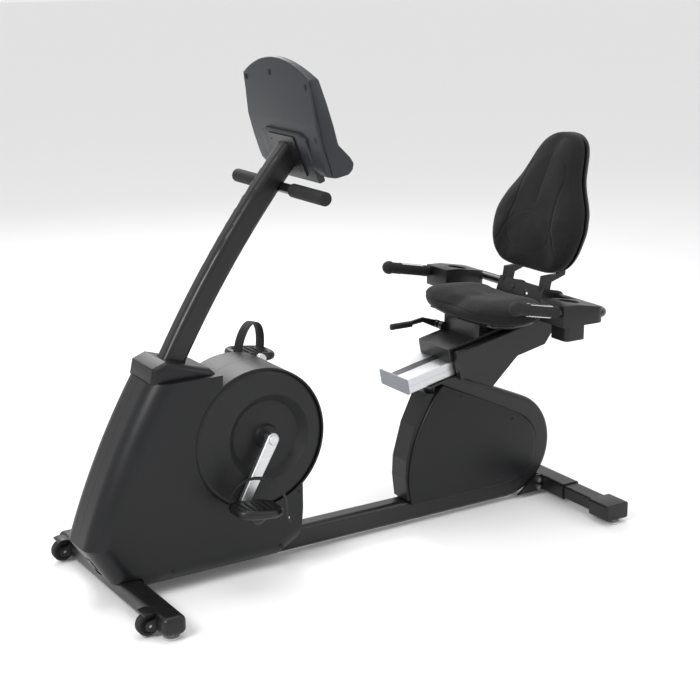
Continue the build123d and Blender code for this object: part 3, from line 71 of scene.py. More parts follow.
# how finely round things are divided
TUBE_SIDES = 10
SEAT_STEPS = 72
PEDAL_STEPS = 56
SCREW_STEPS = 24
STRAP_STEPS = 32
CLOTH_FRAMES = 20


# ---------------------------------------------------------------- materials
def node_of(tree, kind, **values):
    node = tree.nodes.new(kind)
    for key, value in values.items():
        if key in node.inputs:
            node.inputs[key].default_value = value
        else:
            setattr(node, key, value)
    return node


def new_material(name, color, rough, metallic=0.0, specular=0.5, sheen=0.0, coat=0.0):
    material = bpy.data.materials.new(name)
    material.use_nodes = True
    tree = material.node_tree
    shader = tree.nodes["Principled BSDF"]
    shader.inputs["Base Color"].default_value = (*color, 1)
    shader.inputs["Roughness"].default_value = rough
    shader.inputs["Metallic"].default_value = metallic
    shader.inputs["Specular IOR Level"].default_value = specular
    shader.inputs["Sheen Weight"].default_value = sheen
    shader.inputs["Sheen Roughness"].default_value = 0.4
    shader.inputs["Coat Weight"].default_value = coat
    shader.inputs["Coat Roughness"].default_value = 0.2
    return material, tree, shader


def position(tree, scale=(1, 1, 1), rotation=(0, 0, 0)):
    coords = node_of(tree, "ShaderNodeTexCoord")
    mapping = node_of(tree, "ShaderNodeMapping")
    mapping.inputs["Scale"].default_value = scale
    mapping.inputs["Rotation"].default_value = rotation
    tree.links.new(coords.outputs["Object"], mapping.inputs["Vector"])
    return mapping.outputs["Vector"]


def noise(tree, vector, scale, detail=3.0, rough=0.55):
    node = node_of(tree, "ShaderNodeTexNoise", Scale=scale, Detail=detail, Roughness=rough)
    tree.links.new(vector, node.inputs["Vector"])
    return node.outputs["Fac"]


def ramp(tree, value, low, high, a, b):
    """Map value from low..high to a..b."""
    node = node_of(tree, "ShaderNodeMapRange")
    for socket, v in zip(("From Min", "From Max", "To Min", "To Max"), (low, high, a, b)):
        node.inputs[socket].default_value = v
    tree.links.new(value, node.inputs["Value"])
    return node.outputs["Result"]


def mixed(tree, factor, a, b):
    node = node_of(tree, "ShaderNodeMix", data_type="RGBA")
    tree.links.new(factor, node.inputs[0])
    for socket, value in ((6, a), (7, b)):
        if isinstance(value, tuple):
            node.inputs[socket].default_value = (*value, 1)
        else:
            tree.links.new(value, node.inputs[socket])
    return node.outputs[2]


def bump(tree, shader, height, strength, distance, base=None):
    node = node_of(tree, "ShaderNodeBump", Strength=strength, Distance=distance)
    tree.links.new(height, node.inputs["Height"])
    if base is not None:
        tree.links.new(base, node.inputs["Normal"])
    tree.links.new(node.outputs["Normal"], shader.inputs["Normal"])
    return node.outputs["Normal"]


def shaded(color, k):
    return tuple(min(1.0, c * k) for c in color)


def moulded(name, color, rough, grain=0.0012, strength=0.35, specular=0.45):
    """Spark-eroded plastic: fine grain, slow change of tone and gloss."""
    material, tree, shader = new_material(name, color, rough, specular=specular)
    where = position(tree)
    slow = noise(tree, where, 5.0, 4)
    fine = noise(tree, where, 1 / grain, 2)
    tree.links.new(mixed(tree, ramp(tree, slow, 0.3, 0.7, 0, 1), shaded(color, 0.86), shaded(color, 1.16)),
                   shader.inputs["Base Color"])
    tree.links.new(ramp(tree, slow, 0.3, 0.7, rough - 0.04, rough + 0.05), shader.inputs["Roughness"])
    bump(tree, shader, fine, strength, 0.0003)
    return material


def powder(name, color, rough):
    """Powder coat: faint orange peel over a slightly glossy film."""
    material, tree, shader = new_material(name, color, rough, specular=0.35, coat=0.08)
    where = position(tree)
    peel = noise(tree, where, 420, 2)
    dust = noise(tree, where, 14, 5)
    tree.links.new(mixed(tree, ramp(tree, dust, 0.35, 0.75, 0, 1), color, shaded(color, 1.35)),
                   shader.inputs["Base Color"])
    tree.links.new(ramp(tree, dust, 0.3, 0.7, rough - 0.03, rough + 0.07), shader.inputs["Roughness"])
    bump(tree, shader, peel, 0.25, 0.0004)
    return material


def brushed(name, color, rough, rotation, along=(6, 900, 900)):
    """Brushed metal: long scratches along the first mapped axis."""
    material, tree, shader = new_material(name, color, rough, metallic=1.0)
    where = position(tree, along, rotation)
    lines = noise(tree, where, 1.0, 4, 0.7)
    tree.links.new(mixed(tree, ramp(tree, lines, 0.3, 0.7, 0, 1), shaded(color, 0.82), shaded(color, 1.1)),
                   shader.inputs["Base Color"])
    tree.links.new(ramp(tree, lines, 0.3, 0.7, rough - 0.07, rough + 0.1), shader.inputs["Roughness"])
    bump(tree, shader, lines, 0.12, 0.0002)
    return material


def woven(name, color, rough, pitch=0.0022):
    """Plain weave from two crossed sets of threads, with a little fuzz."""
    material, tree, shader = new_material(name, color, rough, specular=0.15, sheen=0.1)
    where = position(tree)
    turned = position(tree, (1, 1, 1), (0.35, 0.5, 0.78))
    threads = []
    for direction in ("X", "Y", "Z"):
        wave = node_of(tree, "ShaderNodeTexWave", bands_direction=direction, Scale=0.16 / pitch,
                       Distortion=0.8)
        wave.inputs["Detail Scale"].default_value = 3
        tree.links.new(turned, wave.inputs["Vector"])
        threads.append(wave.outputs["Fac"])
    pair = node_of(tree, "ShaderNodeMath", operation="MULTIPLY")
    tree.links.new(threads[0], pair.inputs[0])
    tree.links.new(threads[1], pair.inputs[1])
    cross = node_of(tree, "ShaderNodeMath", operation="ADD")
    tree.links.new(pair.outputs[0], cross.inputs[0])
    tree.links.new(threads[2], cross.inputs[1])
    fuzz = noise(tree, where, 30, 6, 0.7)
    tone = mixed(tree, ramp(tree, cross.outputs[0], 0.2, 1.6, 0, 1), shaded(color, 0.7), shaded(color, 1.5))
    tree.links.new(mixed(tree, ramp(tree, fuzz, 0.3, 0.7, 0, 0.5), tone, shaded(color, 1.15)),
                   shader.inputs["Base Color"])
    first = bump(tree, shader, cross.outputs[0], 0.45, 0.0006)
    bump(tree, shader, fuzz, 0.2, 0.0015, first)
    return material


def foam_skin(name, color):
    material, tree, shader = new_material(name, color, 0.72, specular=0.3)
    where = position(tree)
    cells = node_of(tree, "ShaderNodeTexVoronoi", Scale=650)
    tree.links.new(where, cells.inputs["Vector"])
    slow = noise(tree, where, 40, 4)
    tree.links.new(mixed(tree, ramp(tree, slow, 0.3, 0.7, 0, 1), shaded(color, 0.85), shaded(color, 1.3)),
                   shader.inputs["Base Color"])
    bump(tree, shader, cells.outputs["Distance"], 0.5, 0.0008)
    return material


SHROUD = moulded("shroud_black", (0.0062, 0.0065, 0.0075), 0.36, specular=0.28)
DISC = moulded("disc_black", (0.0085, 0.0088, 0.0096), 0.46, 0.001, 0.45, 0.3)
DARK = moulded("satin_black", (0.0065, 0.0066, 0.0072), 0.36, 0.0015, 0.2, 0.35)
SLATE = moulded("slate_console", (0.0125, 0.0148, 0.0185), 0.4, specular=0.38)
COAT = powder("powder_coat", (0.0055, 0.0055, 0.006), 0.3)
GREY_CAP = moulded("grey_end_plate", (0.17, 0.185, 0.205), 0.42)
GLIDE = moulded("grey_glide", (0.42, 0.43, 0.44), 0.35, 0.002, 0.1)
ARM = brushed("satin_silver", (0.62, 0.63, 0.64), 0.34, (0, -CRANK_ANGLE, 0), (20, 500, 500))
PLATE = brushed("pulse_plate", (0.75, 0.76, 0.77), 0.2, (0, math.radians(11), 0))
STEEL = brushed("zinc_steel", (0.5, 0.5, 0.52), 0.32, (0, 0, 0), (200, 200, 200))
FABRIC = woven("black_cloth", (0.0085, 0.0086, 0.0092), 0.85)
FOAM = foam_skin("black_foam", (0.009, 0.009, 0.0095))
TYRE = foam_skin("wheel_rubber", (0.012, 0.012, 0.0125))


def rail_material():
    """Brushed extrusion whose top groove holds a dark strip."""
    material = brushed("rail_aluminium", (0.6, 0.61, 0.63), 0.33, (0, RAIL, 0))
    tree = material.node_tree
    shader = tree.nodes["Principled BSDF"]
    coords = node_of(tree, "ShaderNodeTexCoord")
    split = node_of(tree, "ShaderNodeSeparateXYZ")
    tree.links.new(coords.outputs["Object"], split.inputs[0])
    side = node_of(tree, "ShaderNodeMath", operation="ABSOLUTE")
    tree.links.new(split.outputs["Y"], side.inputs[0])
    near = ramp(tree, side.outputs[0], GROOVE_HALF - 0.0001, GROOVE_HALF + 0.0002, 1, 0)
    # height above the rail's underside
    lift_x = node_of(tree, "ShaderNodeMath", operation="MULTIPLY_ADD")
    lift_x.inputs[1].default_value = -math.sin(RAIL)
    lift_x.inputs[2].default_value = RAIL_X * math.sin(RAIL) - RAIL_Z * math.cos(RAIL)
    tree.links.new(split.outputs["X"], lift_x.inputs[0])
    lift = node_of(tree, "ShaderNodeMath", operation="MULTIPLY_ADD")
    lift.inputs[1].default_value = math.cos(RAIL)
    tree.links.new(split.outputs["Z"], lift.inputs[0])
    tree.links.new(lift_x.outputs[0], lift.inputs[2])
    high = ramp(tree, lift.outputs[0], GROOVE_FLOOR - 0.0005, GROOVE_FLOOR + 0.0005, 0, 1)
    mask = node_of(tree, "ShaderNodeMath", operation="MULTIPLY")
    tree.links.new(near, mask.inputs[0])
    tree.links.new(high, mask.inputs[1])
    old = shader.inputs["Base Color"].links[0].from_socket
    tree.links.new(mixed(tree, mask.outputs[0], old, (0.012, 0.012, 0.013)), shader.inputs["Base Color"])
    tree.links.new(ramp(tree, mask.outputs[0], 0, 1, 1, 0), shader.inputs["Metallic"])
    return material


RAIL_METAL = rail_material()

LENS, tree, shader = new_material("lens", (0.012, 0.014, 0.016), 0.08, coat=0.6)
smear = noise(tree, position(tree), 30, 5)
tree.links.new(ramp(tree, smear, 0.3, 0.7, 0.05, 0.16), shader.inputs["Roughness"])
KEYS = moulded("key_rubber", (0.3, 0.31, 0.33), 0.6)
IRON, tree, shader = new_material("cast_iron", (0.16, 0.16, 0.17), 0.5, metallic=0.8)
pits = noise(tree, position(tree), 300, 4)
tree.links.new(ramp(tree, pits, 0.3, 0.7, 0.4, 0.65), shader.inputs["Roughness"])
bump(tree, shader, pits, 0.5, 0.0006)

FINISH = {
    COAT: ["main_frame", "rear_loop", "front_stabiliser", "rear_bracket", "rear_stabiliser", "mast",
           "cradle", "bottom_bracket", "flywheel_bracket", "console_bar", "handlebar", "back_frame",
           "seat_carriage", "brake_arm"],
    SHROUD: ["shroud_left", "shroud_right", "mast_collar", "rear_cover_left", "rear_cover_right",
             "rear_cover_front"],
    DISC: ["drum_disc_left", "drum_disc_right"],
    DARK: ["front_end_cap_left", "front_end_cap_right", "rear_end_cap_left", "rear_end_cap_right",
           "pedal_left", "pedal_right", "side_housing_left", "side_housing_right", "seat_lever",
           "power_inlet", "drive_pulley"],
    GLIDE: ["foot_front_left", "foot_front_right", "foot_rear_left", "foot_rear_right"],
    TYRE: ["transport_wheel_left", "transport_wheel_right", "drive_belt"],
    LENS: ["console_lens"],
    KEYS: ["console_keys"],
    FOAM: ["console_bar_sleeves", "handle_grips"],
    ARM: ["crank_arm_left", "crank_arm_right"],
    PLATE: ["pulse_plates"],
    RAIL_METAL: ["seat_rail"],
    GREY_CAP: ["rail_end_plate"],
    STEEL: ["spindle", "lock_pin", "frame_bolts", "wheel_axles"],
    IRON: ["flywheel"],
}
for material, names in FINISH.items():
    for name in names:
        mesh = nodes[name].data
        mesh.materials.clear()
        mesh.materials.append(material)


# ---------------------------------------------------------------- mesh helpers
def add_object(name, verts, faces, material, body):
    mesh = bpy.data.meshes.new(name)
    mesh.from_pydata([tuple(v) for v in verts], [], faces)
    mesh.validate()
    work = bmesh.new()
    work.from_mesh(mesh)
    bmesh.ops.recalc_face_normals(work, faces=work.faces)
    work.to_mesh(mesh)
    work.free()
    obj = bpy.data.objects.new(name, mesh)
    scene.collection.objects.link(obj)
    mesh.materials.append(material)
    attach(obj, body)
    return obj


def smooth(obj, angle=None):
    for face in obj.data.polygons:
        face.use_smooth = True
    if angle is not None:
        obj.data.set_sharp_from_angle(angle=math.radians(angle))


def loft(rings):
    """Verts and faces of closed rings joined in order; the ends are closed with a fan."""
    count = len(rings[0])
    verts = [p for ring in rings for p in ring]
    faces = []
    for r in range(len(rings) - 1):
        for i in range(count):
            j = (i + 1) % count
            faces.append((r * count + i, r * count + j, (r + 1) * count + j, (r + 1) * count + i))
    for base in (0, (len(rings) - 1) * count):
        verts.append(sum((Vector(verts[base + i]) for i in range(count)), Vector()) / count)
        middle = len(verts) - 1
        for i in range(count):
            faces.append((base + i, base + (i + 1) % count, middle))
    return verts, faces


def evaluated_mesh(obj):
    graph = bpy.context.evaluated_depsgraph_get()
    return bpy.data.meshes.new_from_object(obj.evaluated_get(graph))


def apply_modifiers(obj):
    mesh = evaluated_mesh(obj)
    materials = list(obj.data.materials)
    obj.modifiers.clear()
    obj.data = mesh
    mesh.materials.clear()
    for material in materials:
        mesh.materials.append(material)


def puff(obj, voxel, pressure, cap, pinned):
    """Even remesh, then cloth under inner pressure; no point moves further than cap."""
    remesh = obj.modifiers.new("remesh", "REMESH")
    remesh.mode = "VOXEL"
    remesh.voxel_size = voxel
    apply_modifiers(obj)
    start = [v.co.copy() for v in obj.data.vertices]
    group = obj.vertex_groups.new(name="pin")
    held = [i for i, co in enumerate(start) if pinned(co)]
    group.add(held, 1.0, "REPLACE")
    cloth = obj.modifiers.new("cloth", "CLOTH")
    settings = cloth.settings
    settings.quality = 6
    settings.mass = 0.25
    settings.tension_stiffness = 12
    settings.compression_stiffness = 12
    settings.shear_stiffness = 6
    settings.bending_stiffness = 6
    settings.use_pressure = True
    settings.uniform_pressure_force = pressure
    settings.effector_weights.gravity = 0
    settings.vertex_group_mass = "pin"
    cloth.collision_settings.use_collision = False
    cloth.point_cache.frame_start = 1
    cloth.point_cache.frame_end = CLOTH_FRAMES
    for step in range(1, CLOTH_FRAMES + 1):
        scene.frame_set(step)
    moved = evaluated_mesh(obj)
    obj.modifiers.clear()
    for vertex, before, after in zip(obj.data.vertices, start, moved.vertices):
        shift = after.co - before
        if shift.length > cap:
            shift *= cap / shift.length
        vertex.co = before + shift
    obj.vertex_groups.clear()
    scene.frame_set(1)
    relax = obj.modifiers.new("relax", "SMOOTH")
    relax.factor = 0.5
    relax.iterations = 14
    apply_modifiers(obj)


def finer(obj):
    sub = obj.modifiers.new("finer", "SUBSURF")
    sub.levels = 1
    sub.render_levels = 1
    apply_modifiers(obj)


def circle(count):
    """Angles of count points evenly round a turn."""
    return [2 * math.pi * k / count for k in range(count)]


def curve(points, steps):
    """Smooth run through the given points, both ends included."""
    points = [Vector(p) for p in points]
    last = len(points) - 1
    out = []
    for i in range(last):
        p0, p1, p2, p3 = points[max(i - 1, 0)], points[i], points[i + 1], points[min(i + 2, last)]
        for k in range(steps):
            t = k / steps
            out.append(0.5 * ((2 * p1) + (p2 - p0) * t + (2 * p0 - 5 * p1 + 4 * p2 - p3) * t * t
                              + (3 * p1 - p0 - 3 * p2 + p3) * t ** 3))
    out.append(points[-1])
    return out


def tube_along(name, points, radius, material, body):
    """Round bead through the given points, closed at both ends."""
    last = len(points) - 1
    rings = []
    for i, point in enumerate(points):
        along = (points[min(i + 1, last)] - points[max(i - 1, 0)]).normalized()
        side = along.cross(Vector((0, 0, 1)))
        if side.length < 0.2:
            side = along.cross(Vector((0, 1, 0)))
        side.normalize()
        up = side.cross(along)
        rings.append([point + side * (radius * math.cos(a)) + up * (radius * math.sin(a))
                      for a in circle(TUBE_SIDES)])
    verts, faces = loft(rings)
    smooth(add_object(name, verts, faces, material, body))


# ---------------------------------------------------------------- seat cushion
SEAT_LOW, SEAT_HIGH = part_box("seat_cushion")
SEAT_MID_X = (SEAT_LOW.x + SEAT_HIGH.x) / 2 - 0.006
SEAT_HALF_X = (SEAT_HIGH.x - SEAT_LOW.x) / 2 + 0.003
SEAT_HALF_Y = SEAT_HIGH.y - 0.007
SEAT_BOTTOM = 0.5664
SEAT_TOP = 0.607


def seat_outline(angle, grow):
    """Plan of the seat: broad rounded front, slightly narrower back."""
    c, s = math.cos(angle), math.sin(angle)
    power = 2 / (3.8 - 1.1 * max(0.0, -c))
    x = math.copysign(abs(c) ** power, c)
    y = math.copysign(abs(s) ** power, s)
    narrow = 1.0 - 0.13 * max(0.0, x) ** 2 - 0.05 * max(0.0, -x) ** 3
    return SEAT_MID_X + x * (SEAT_HALF_X + grow), y * (SEAT_HALF_Y * narrow + grow)


def seat_top(x, y):
    """Crown of the top: falls away in front, rises a little at the sides and the back."""
    u = (x - SEAT_MID_X) / SEAT_HALF_X
    v = abs(y) / SEAT_HALF_Y
    crown = 0.006 - 0.020 * max(0.0, -u - 0.25) ** 2 - 0.004 * u
    crown += 0.005 * math.exp(-((v - 0.62) / 0.22) ** 2)
    crown -= 0.007 * math.exp(-(v / 0.16) ** 2) * (0.5 - 0.5 * u)
    return SEAT_TOP + crown


def seat_rings():
    rings = []
    for grow, drop in ((-0.045, 0.0), (-0.016, 0.0), (-0.007, 0.004), (-0.003, 0.014), (-0.001, 0.026)):
        rings.append([(*seat_outline(a, grow), SEAT_BOTTOM + drop) for a in circle(SEAT_STEPS)])
    for shrink in (0.0, 0.012, 0.03, 0.06, 0.09, 0.13):
        ring = []
        for a in circle(SEAT_STEPS):
            x, y = seat_outline(a, -shrink)
            edge = 0.012 * math.exp(-shrink / 0.012)
            ring.append((x, y, seat_top(x, y) - edge))
        rings.append(ring)
    return rings


seat_verts, seat_faces = loft(seat_rings())
seat_pad = add_object("seat_pad", seat_verts, seat_faces, FABRIC, "seat")
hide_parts("seat_cushion")
puff(seat_pad, 0.005, 2.0, 0.006, lambda co: co.z < SEAT_BOTTOM + 0.003)
finer(seat_pad)
SEAM_Z = SEAT_TOP - 0.013


def groove(value, width, depth):
    return depth * math.exp(-(value / width) ** 2)


for vertex in seat_pad.data.vertices:
    co = vertex.co
    # sewn line round the side, just below the top panel
    centre = Vector((SEAT_MID_X, 0, co.z))
    outward = (co - centre)
    outward.z = 0
    if outward.length > 0.06 and co.z > SEAT_BOTTOM + 0.01:
        co -= outward.normalized() * groove(co.z - SEAM_Z, 0.0022, 0.0028)
    if co.z < SEAT_BOTTOM:
        co.z = SEAT_BOTTOM
smooth(seat_pad)

# moulded tray under the cushion, stepped in from its edge
tray_rings = []
for grow, z in ((-0.026, SEAT_BOTTOM - 0.0002), (-0.020, SEAT_BOTTOM - 0.001), (-0.022, SEAT_BOTTOM - 0.006),
                (-0.032, SEAT_BOTTOM - 0.0105)):
    tray_rings.append([(*seat_outline(a, grow), z) for a in circle(SEAT_STEPS)])
tray_verts, tray_faces = loft(tray_rings)
seat_tray = add_object("seat_tray", tray_verts, tray_faces, DARK, "seat")
smooth(seat_tray, 50)

# ---------------------------------------------------------------- backrest
BACK_LOW, BACK_MID, BACK_HIGH = 0.667, 0.815, 1.042
BACK_FRONT = (CRANK_X + 0.851, CRANK_X + 0.875, CRANK_X + 0.977)


def back_front(z):
    if z < BACK_MID:
        t = (z - BACK_LOW) / (BACK_MID - BACK_LOW)
        flat = BACK_FRONT[0] + (BACK_FRONT[1] - BACK_FRONT[0]) * t
    else:
        t = (z - BACK_MID) / (BACK_HIGH - BACK_MID)
        flat = BACK_FRONT[1] + (BACK_FRONT[2] - BACK_FRONT[1]) * t
    return flat + 0.008 * math.exp(-((z - BACK_MID) / 0.05) ** 2)


BACK_SIDE = [(0.0, 0.6695), (0.050, 0.6695), (0.092, 0.6715), (0.122, 0.680), (0.146, 0.698), (0.164, 0.725),
             (0.174, 0.757), (0.178, 0.792), (0.172, 0.828), (0.156, 0.862), (0.134, 0.893), (0.113, 0.926),
             (0.099, 0.960), (0.085, 0.994), (0.066, 1.020), (0.036, 1.036), (0.0, 1.040)]


def back_outline():
    """Closed outline of the backrest in (y, z), smooth through its side points."""
    half = curve(BACK_SIDE, 4)
    return half + [Vector((-p.x, p.y)) for p in reversed(half[1:-1])]


OUTLINE = back_outline()
BACK_CENTRE = Vector((0, 0.82))


def back_ring(inset, depth, relief=None):
    """Ring inset from the outline by a distance, depth behind the front face."""
    ring = []
    for p in OUTLINE:
        toward = BACK_CENTRE - p
        q = p + toward.normalized() * min(inset, toward.length * 0.96)
        x = back_front(q.y) + depth
        if relief:
            x += relief(q.x, q.y)
        ring.append((x, q.x, q.y))
    return ring


def back_relief(y, z):
    """Wings stand forward, the spine is hollow and a soft pad fills the small of the back."""
    v = abs(y) / 0.175
    wing = -0.009 * math.exp(-((v - 0.76) / 0.2) ** 2) * math.exp(-((z - 0.79) / 0.09) ** 2)
    spine = 0.004 * math.exp(-(y / 0.020) ** 2) * math.exp(-((z - 0.93) / 0.07) ** 2)
    lumbar = -0.005 * math.exp(-(y / 0.085) ** 4 - ((z - 0.775) / 0.055) ** 4)
    return wing + spine + lumbar


# (inset from the outline, depth behind the front face)
BACK_EDGE = ((0.030, 0.0495), (0.008, 0.0495), (0.002, 0.046), (0.0, 0.036), (0.0, 0.024),
             (0.003, 0.016), (0.010, 0.010))
BACK_FACE_RINGS = ((0.022, 0.007), (0.040, 0.006), (0.065, 0.006), (0.095, 0.006), (0.13, 0.006))
back_rings = [back_ring(*spot) for spot in BACK_EDGE]
back_rings += [back_ring(*spot, back_relief) for spot in BACK_FACE_RINGS]
back_verts, back_faces = loft(back_rings)
back_pad = add_object("backrest_pad", back_verts, back_faces, FABRIC, "seat")
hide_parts("backrest_cushion")
puff(back_pad, 0.0055, 1.6, 0.005, lambda co: co.x > back_front(co.z) + 0.046)
finer(back_pad)


SEAM_POINTS = [(0.690, 0.128), (0.720, 0.138), (0.760, 0.112), (0.800, 0.092), (0.850, 0.084), (0.920, 0.084),
               (0.980, 0.062), (1.025, 0.030)]


def seam_y(z):
    """Half-width of the sewn line that parts the centre panel from the side panels."""
    for (z0, y0), (z1, y1) in zip(SEAM_POINTS, SEAM_POINTS[1:]):
        if z <= z1:
            t = min(1.0, max(0.0, (z - z0) / (z1 - z0)))
            t = t * t * (3 - 2 * t)
            return y0 + (y1 - y0) * t
    return SEAM_POINTS[-1][1]


for vertex in back_pad.data.vertices:
    co = vertex.co
    face = back_front(co.z)
    if co.x < face + 0.022:
        depth = groove(abs(co.y) - seam_y(co.z), 0.003, 0.0026) if 0.735 < co.z < 0.96 else 0
        depth += groove(co.y, 0.003, 0.0012) if 0.85 < co.z < 0.99 else 0
        oval = math.hypot(co.y / 0.092, (co.z - 0.775) / 0.056)
        depth += groove((oval - 1) * 0.07, 0.003, 0.0009)
        co.x += depth
    if 0.006 < co.x - face < 0.024:
        band = groove(co.x - face - 0.014, 0.0022, 0.0020)
        toward = Vector((0, -co.y, 0.82 - co.z))
        if toward.length > 0.1:
            co += toward.normalized() * band
    limit = face + 0.0498
    if co.x > limit:
        co.x = limit
smooth(back_pad)

# hard shell behind the cushion
SHELL = ((0.004, 0.0503), (0.0015, 0.0515), (0.002, 0.058), (0.010, 0.068), (0.024, 0.0755),
         (0.045, 0.0800), (0.075, 0.0825), (0.12, 0.0835))
shell_verts, shell_faces = loft([back_ring(*spot) for spot in SHELL])
back_shell = add_object("backrest_back", shell_verts, shell_faces, DARK, "seat")
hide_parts("backrest_shell")
finer(back_shell)
smooth(back_shell, 50)


# ---------------------------------------------------------------- console
# near-black material for painted shade: the dark inside holes, the seam groove and the screw recesses
PAINTED_SHADE, tree, shader = new_material("painted_shade_black", (0.002, 0.002, 0.002), 0.7)
tree.links.new(ramp(tree, noise(tree, position(tree), 200, 2), 0, 1, 0.6, 0.8), shader.inputs["Roughness"])


def prism(outline, axis, low, high):
    """Closed prism of an outline; axis 1 extrudes along Y, axis 0 along X."""
    count = len(outline)
    verts = []
    for level in (low, high):
        for a, b in outline:
            verts.append((a, level, b) if axis == 1 else (level, a, b))
    faces = [tuple(range(count)), tuple(range(2 * count - 1, count - 1, -1))]
    for i in range(count):
        j = (i + 1) % count
        faces.append((i, i + count, j + count, j))
    return verts, faces


def boolean(target, tool, operation):
    modifier = target.modifiers.new("cut", "BOOLEAN")
    modifier.object = tool
    modifier.operation = operation
    modifier.solver = "EXACT"
    apply_modifiers(target)
    bpy.data.objects.remove(tool)


def tidy_flat(obj):
    work = bmesh.new()
    work.from_mesh(obj.data)
    bmesh.ops.remove_doubles(work, verts=work.verts, dist=1e-5)
    bmesh.ops.dissolve_limit(work, angle_limit=math.radians(1.5), verts=work.verts, edges=work.edges)
    bmesh.ops.recalc_face_normals(work, faces=work.faces)
    work.to_mesh(obj.data)
    work.free()


def rounded(obj, width, segments, angle=25):
    """Round every edge sharper than angle degrees."""
    modifier = obj.modifiers.new("round", "BEVEL")
    modifier.width = width
    modifier.segments = segments
    modifier.limit_method = "ANGLE"
    modifier.angle_limit = math.radians(angle)
    apply_modifiers(obj)


def rel(*points):
    return [(CRANK_X + x / 1000, z / 1000) for x, z in points]


CONSOLE_SIDE = rel((74, 1288), (94, 1290), (107, 1250), (125.6, 1191.6), (149.6, 1116.6), (159.4, 1085),
                   (196, 1052), (208, 1036), (208, 1020), (199, 1008), (165, 1001), (138, 1006),
                   (124, 1024), (112, 1067), (94, 1134))
HALF = 0.167


def console_front_outline():
    right = [(0.146, 1.0015), (0.158, 1.040), (0.165, 1.085), (HALF, 1.130), (0.165, 1.185),
             (0.158, 1.2405)]
    arch = [(0.158 * (1 - k / 12), 1.2405 + 0.0445 * (1 - (1 - k / 12) ** 2)) for k in range(1, 24)]
    return right + arch + [(-y, z) for y, z in reversed(right)]


verts, faces = prism(CONSOLE_SIDE, 1, -0.3, 0.3)
console = add_object("console_body", verts, faces, SLATE, "frame")
verts, faces = prism(console_front_outline(), 0, -0.4, 0.1)
cutter = add_object("cutter", verts, faces, SLATE, "frame")
boolean(console, cutter, "INTERSECT")
tidy_flat(console)
rounded(console, 0.005, 4)
smooth(console, 40)
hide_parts("console_back", "console_front")

# ledge that holds a book
verts, faces = prism(rel((148, 1118), (164, 1121), (165, 1113), (151, 1110)), 1, -0.070, 0.070)
ledge = add_object("console_ledge", verts, faces, SLATE, "frame")
rounded(ledge, 0.0015, 3)
smooth(ledge, 40)

# groove between the back and the front shell, run down both flanks as a thin near-black tube: painted shade
# in the groove
for side, label in ((-1, "left"), (1, "right")):
    flank = [(CRANK_X + 0.081, side * 0.1582, 1.238), (CRANK_X + 0.091, side * 0.1655, 1.190),
             (CRANK_X + 0.103, side * 0.1676, 1.140), (CRANK_X + 0.117, side * 0.1660, 1.085),
             (CRANK_X + 0.136, side * 0.1592, 1.040), (CRANK_X + 0.150, side * 0.1500, 1.010)]
    tube_along(f"console_seam_shade_{label}", curve(flank, 6), 0.0011, PAINTED_SHADE, "frame")

# raised block on the back that the mast's plate is bolted to
TILT = math.radians(22)
PLATE_X, PLATE_Z = CRANK_X + 0.114, 1.048


def on_plate(y, up, out):
    """Point on the mast's end plate: up along it, out towards the rider."""
    return Vector((PLATE_X - up * math.sin(TILT) + out * math.cos(TILT), y,
                   PLATE_Z + up * math.cos(TILT) + out * math.sin(TILT)))


def plate_block(name, half, low, high, out0, out1, material, round_by):
    corners = [(-half, low), (half, low), (half, high - 0.012), (half * 0.72, high),
               (-half * 0.72, high), (-half, high - 0.012)]
    verts = [on_plate(y, up, out) for out in (out0, out1) for y, up in corners]
    n = len(corners)
    faces = [tuple(range(n)), tuple(range(2 * n - 1, n - 1, -1))]
    faces += [(i, i + n, (i + 1) % n + n, (i + 1) % n) for i in range(n)]
    obj = add_object(name, verts, faces, material, "frame")
    rounded(obj, round_by, 3)
    smooth(obj, 40)


plate_block("console_mount", 0.110, -0.068, 0.062, 0.0004, 0.018, SLATE, 0.004)


def screw_head(name, centre, outward, radius, body, height=0.0016, material=STEEL):
    """Pan head with a round recess."""
    outward = Vector(outward).normalized()
    side = outward.orthogonal().normalized()
    up = outward.cross(side)
    rings = []
    for scale, rise in ((1.0, -0.0005), (1.0, height * 0.45), (0.9, height * 0.8), (0.62, height),
                        (0.45, height), (0.36, height * 0.35)):
        middle = Vector(centre) + outward * rise
        reach = radius * scale
        rings.append([middle + side * (reach * math.cos(a)) + up * (reach * math.sin(a))
                      for a in circle(SCREW_STEPS)])
    verts, faces = loft(rings)
    obj = add_object(name, verts, faces, material, body)
    smooth(obj, 40)
    return obj


# screw holes in the back of the console, a little longer than wide: near-black discs on the surface, painted
# shade of the holes
BACK_FACE = ((0.072, 1.290), (0.094, 1.134), (0.112, 1.067))


def console_back_x(z):
    for (x1, z1), (x0, z0) in zip(BACK_FACE, BACK_FACE[1:]):
        if z >= z0:
            return CRANK_X + x0 + (x1 - x0) * (z - z0) / (z1 - z0)
    return CRANK_X + BACK_FACE[-1][0]


for index, (y, z) in enumerate(((0.148, 1.226), (0.026, 1.246), (-0.139, 1.222), (-0.148, 1.098))):
    ring = [(y + 0.0042 * math.cos(a), z + 0.0068 * math.sin(a)) for a in circle(SCREW_STEPS)]
    rings = [[(console_back_x(v) - off, u, v) for u, v in ring] for off in (-0.001, 0.0006)]
    verts, faces = loft(rings)
    hole = add_object(f"console_hole_shade_{index}", verts, faces, PAINTED_SHADE, "frame")
    smooth(hole, 40)

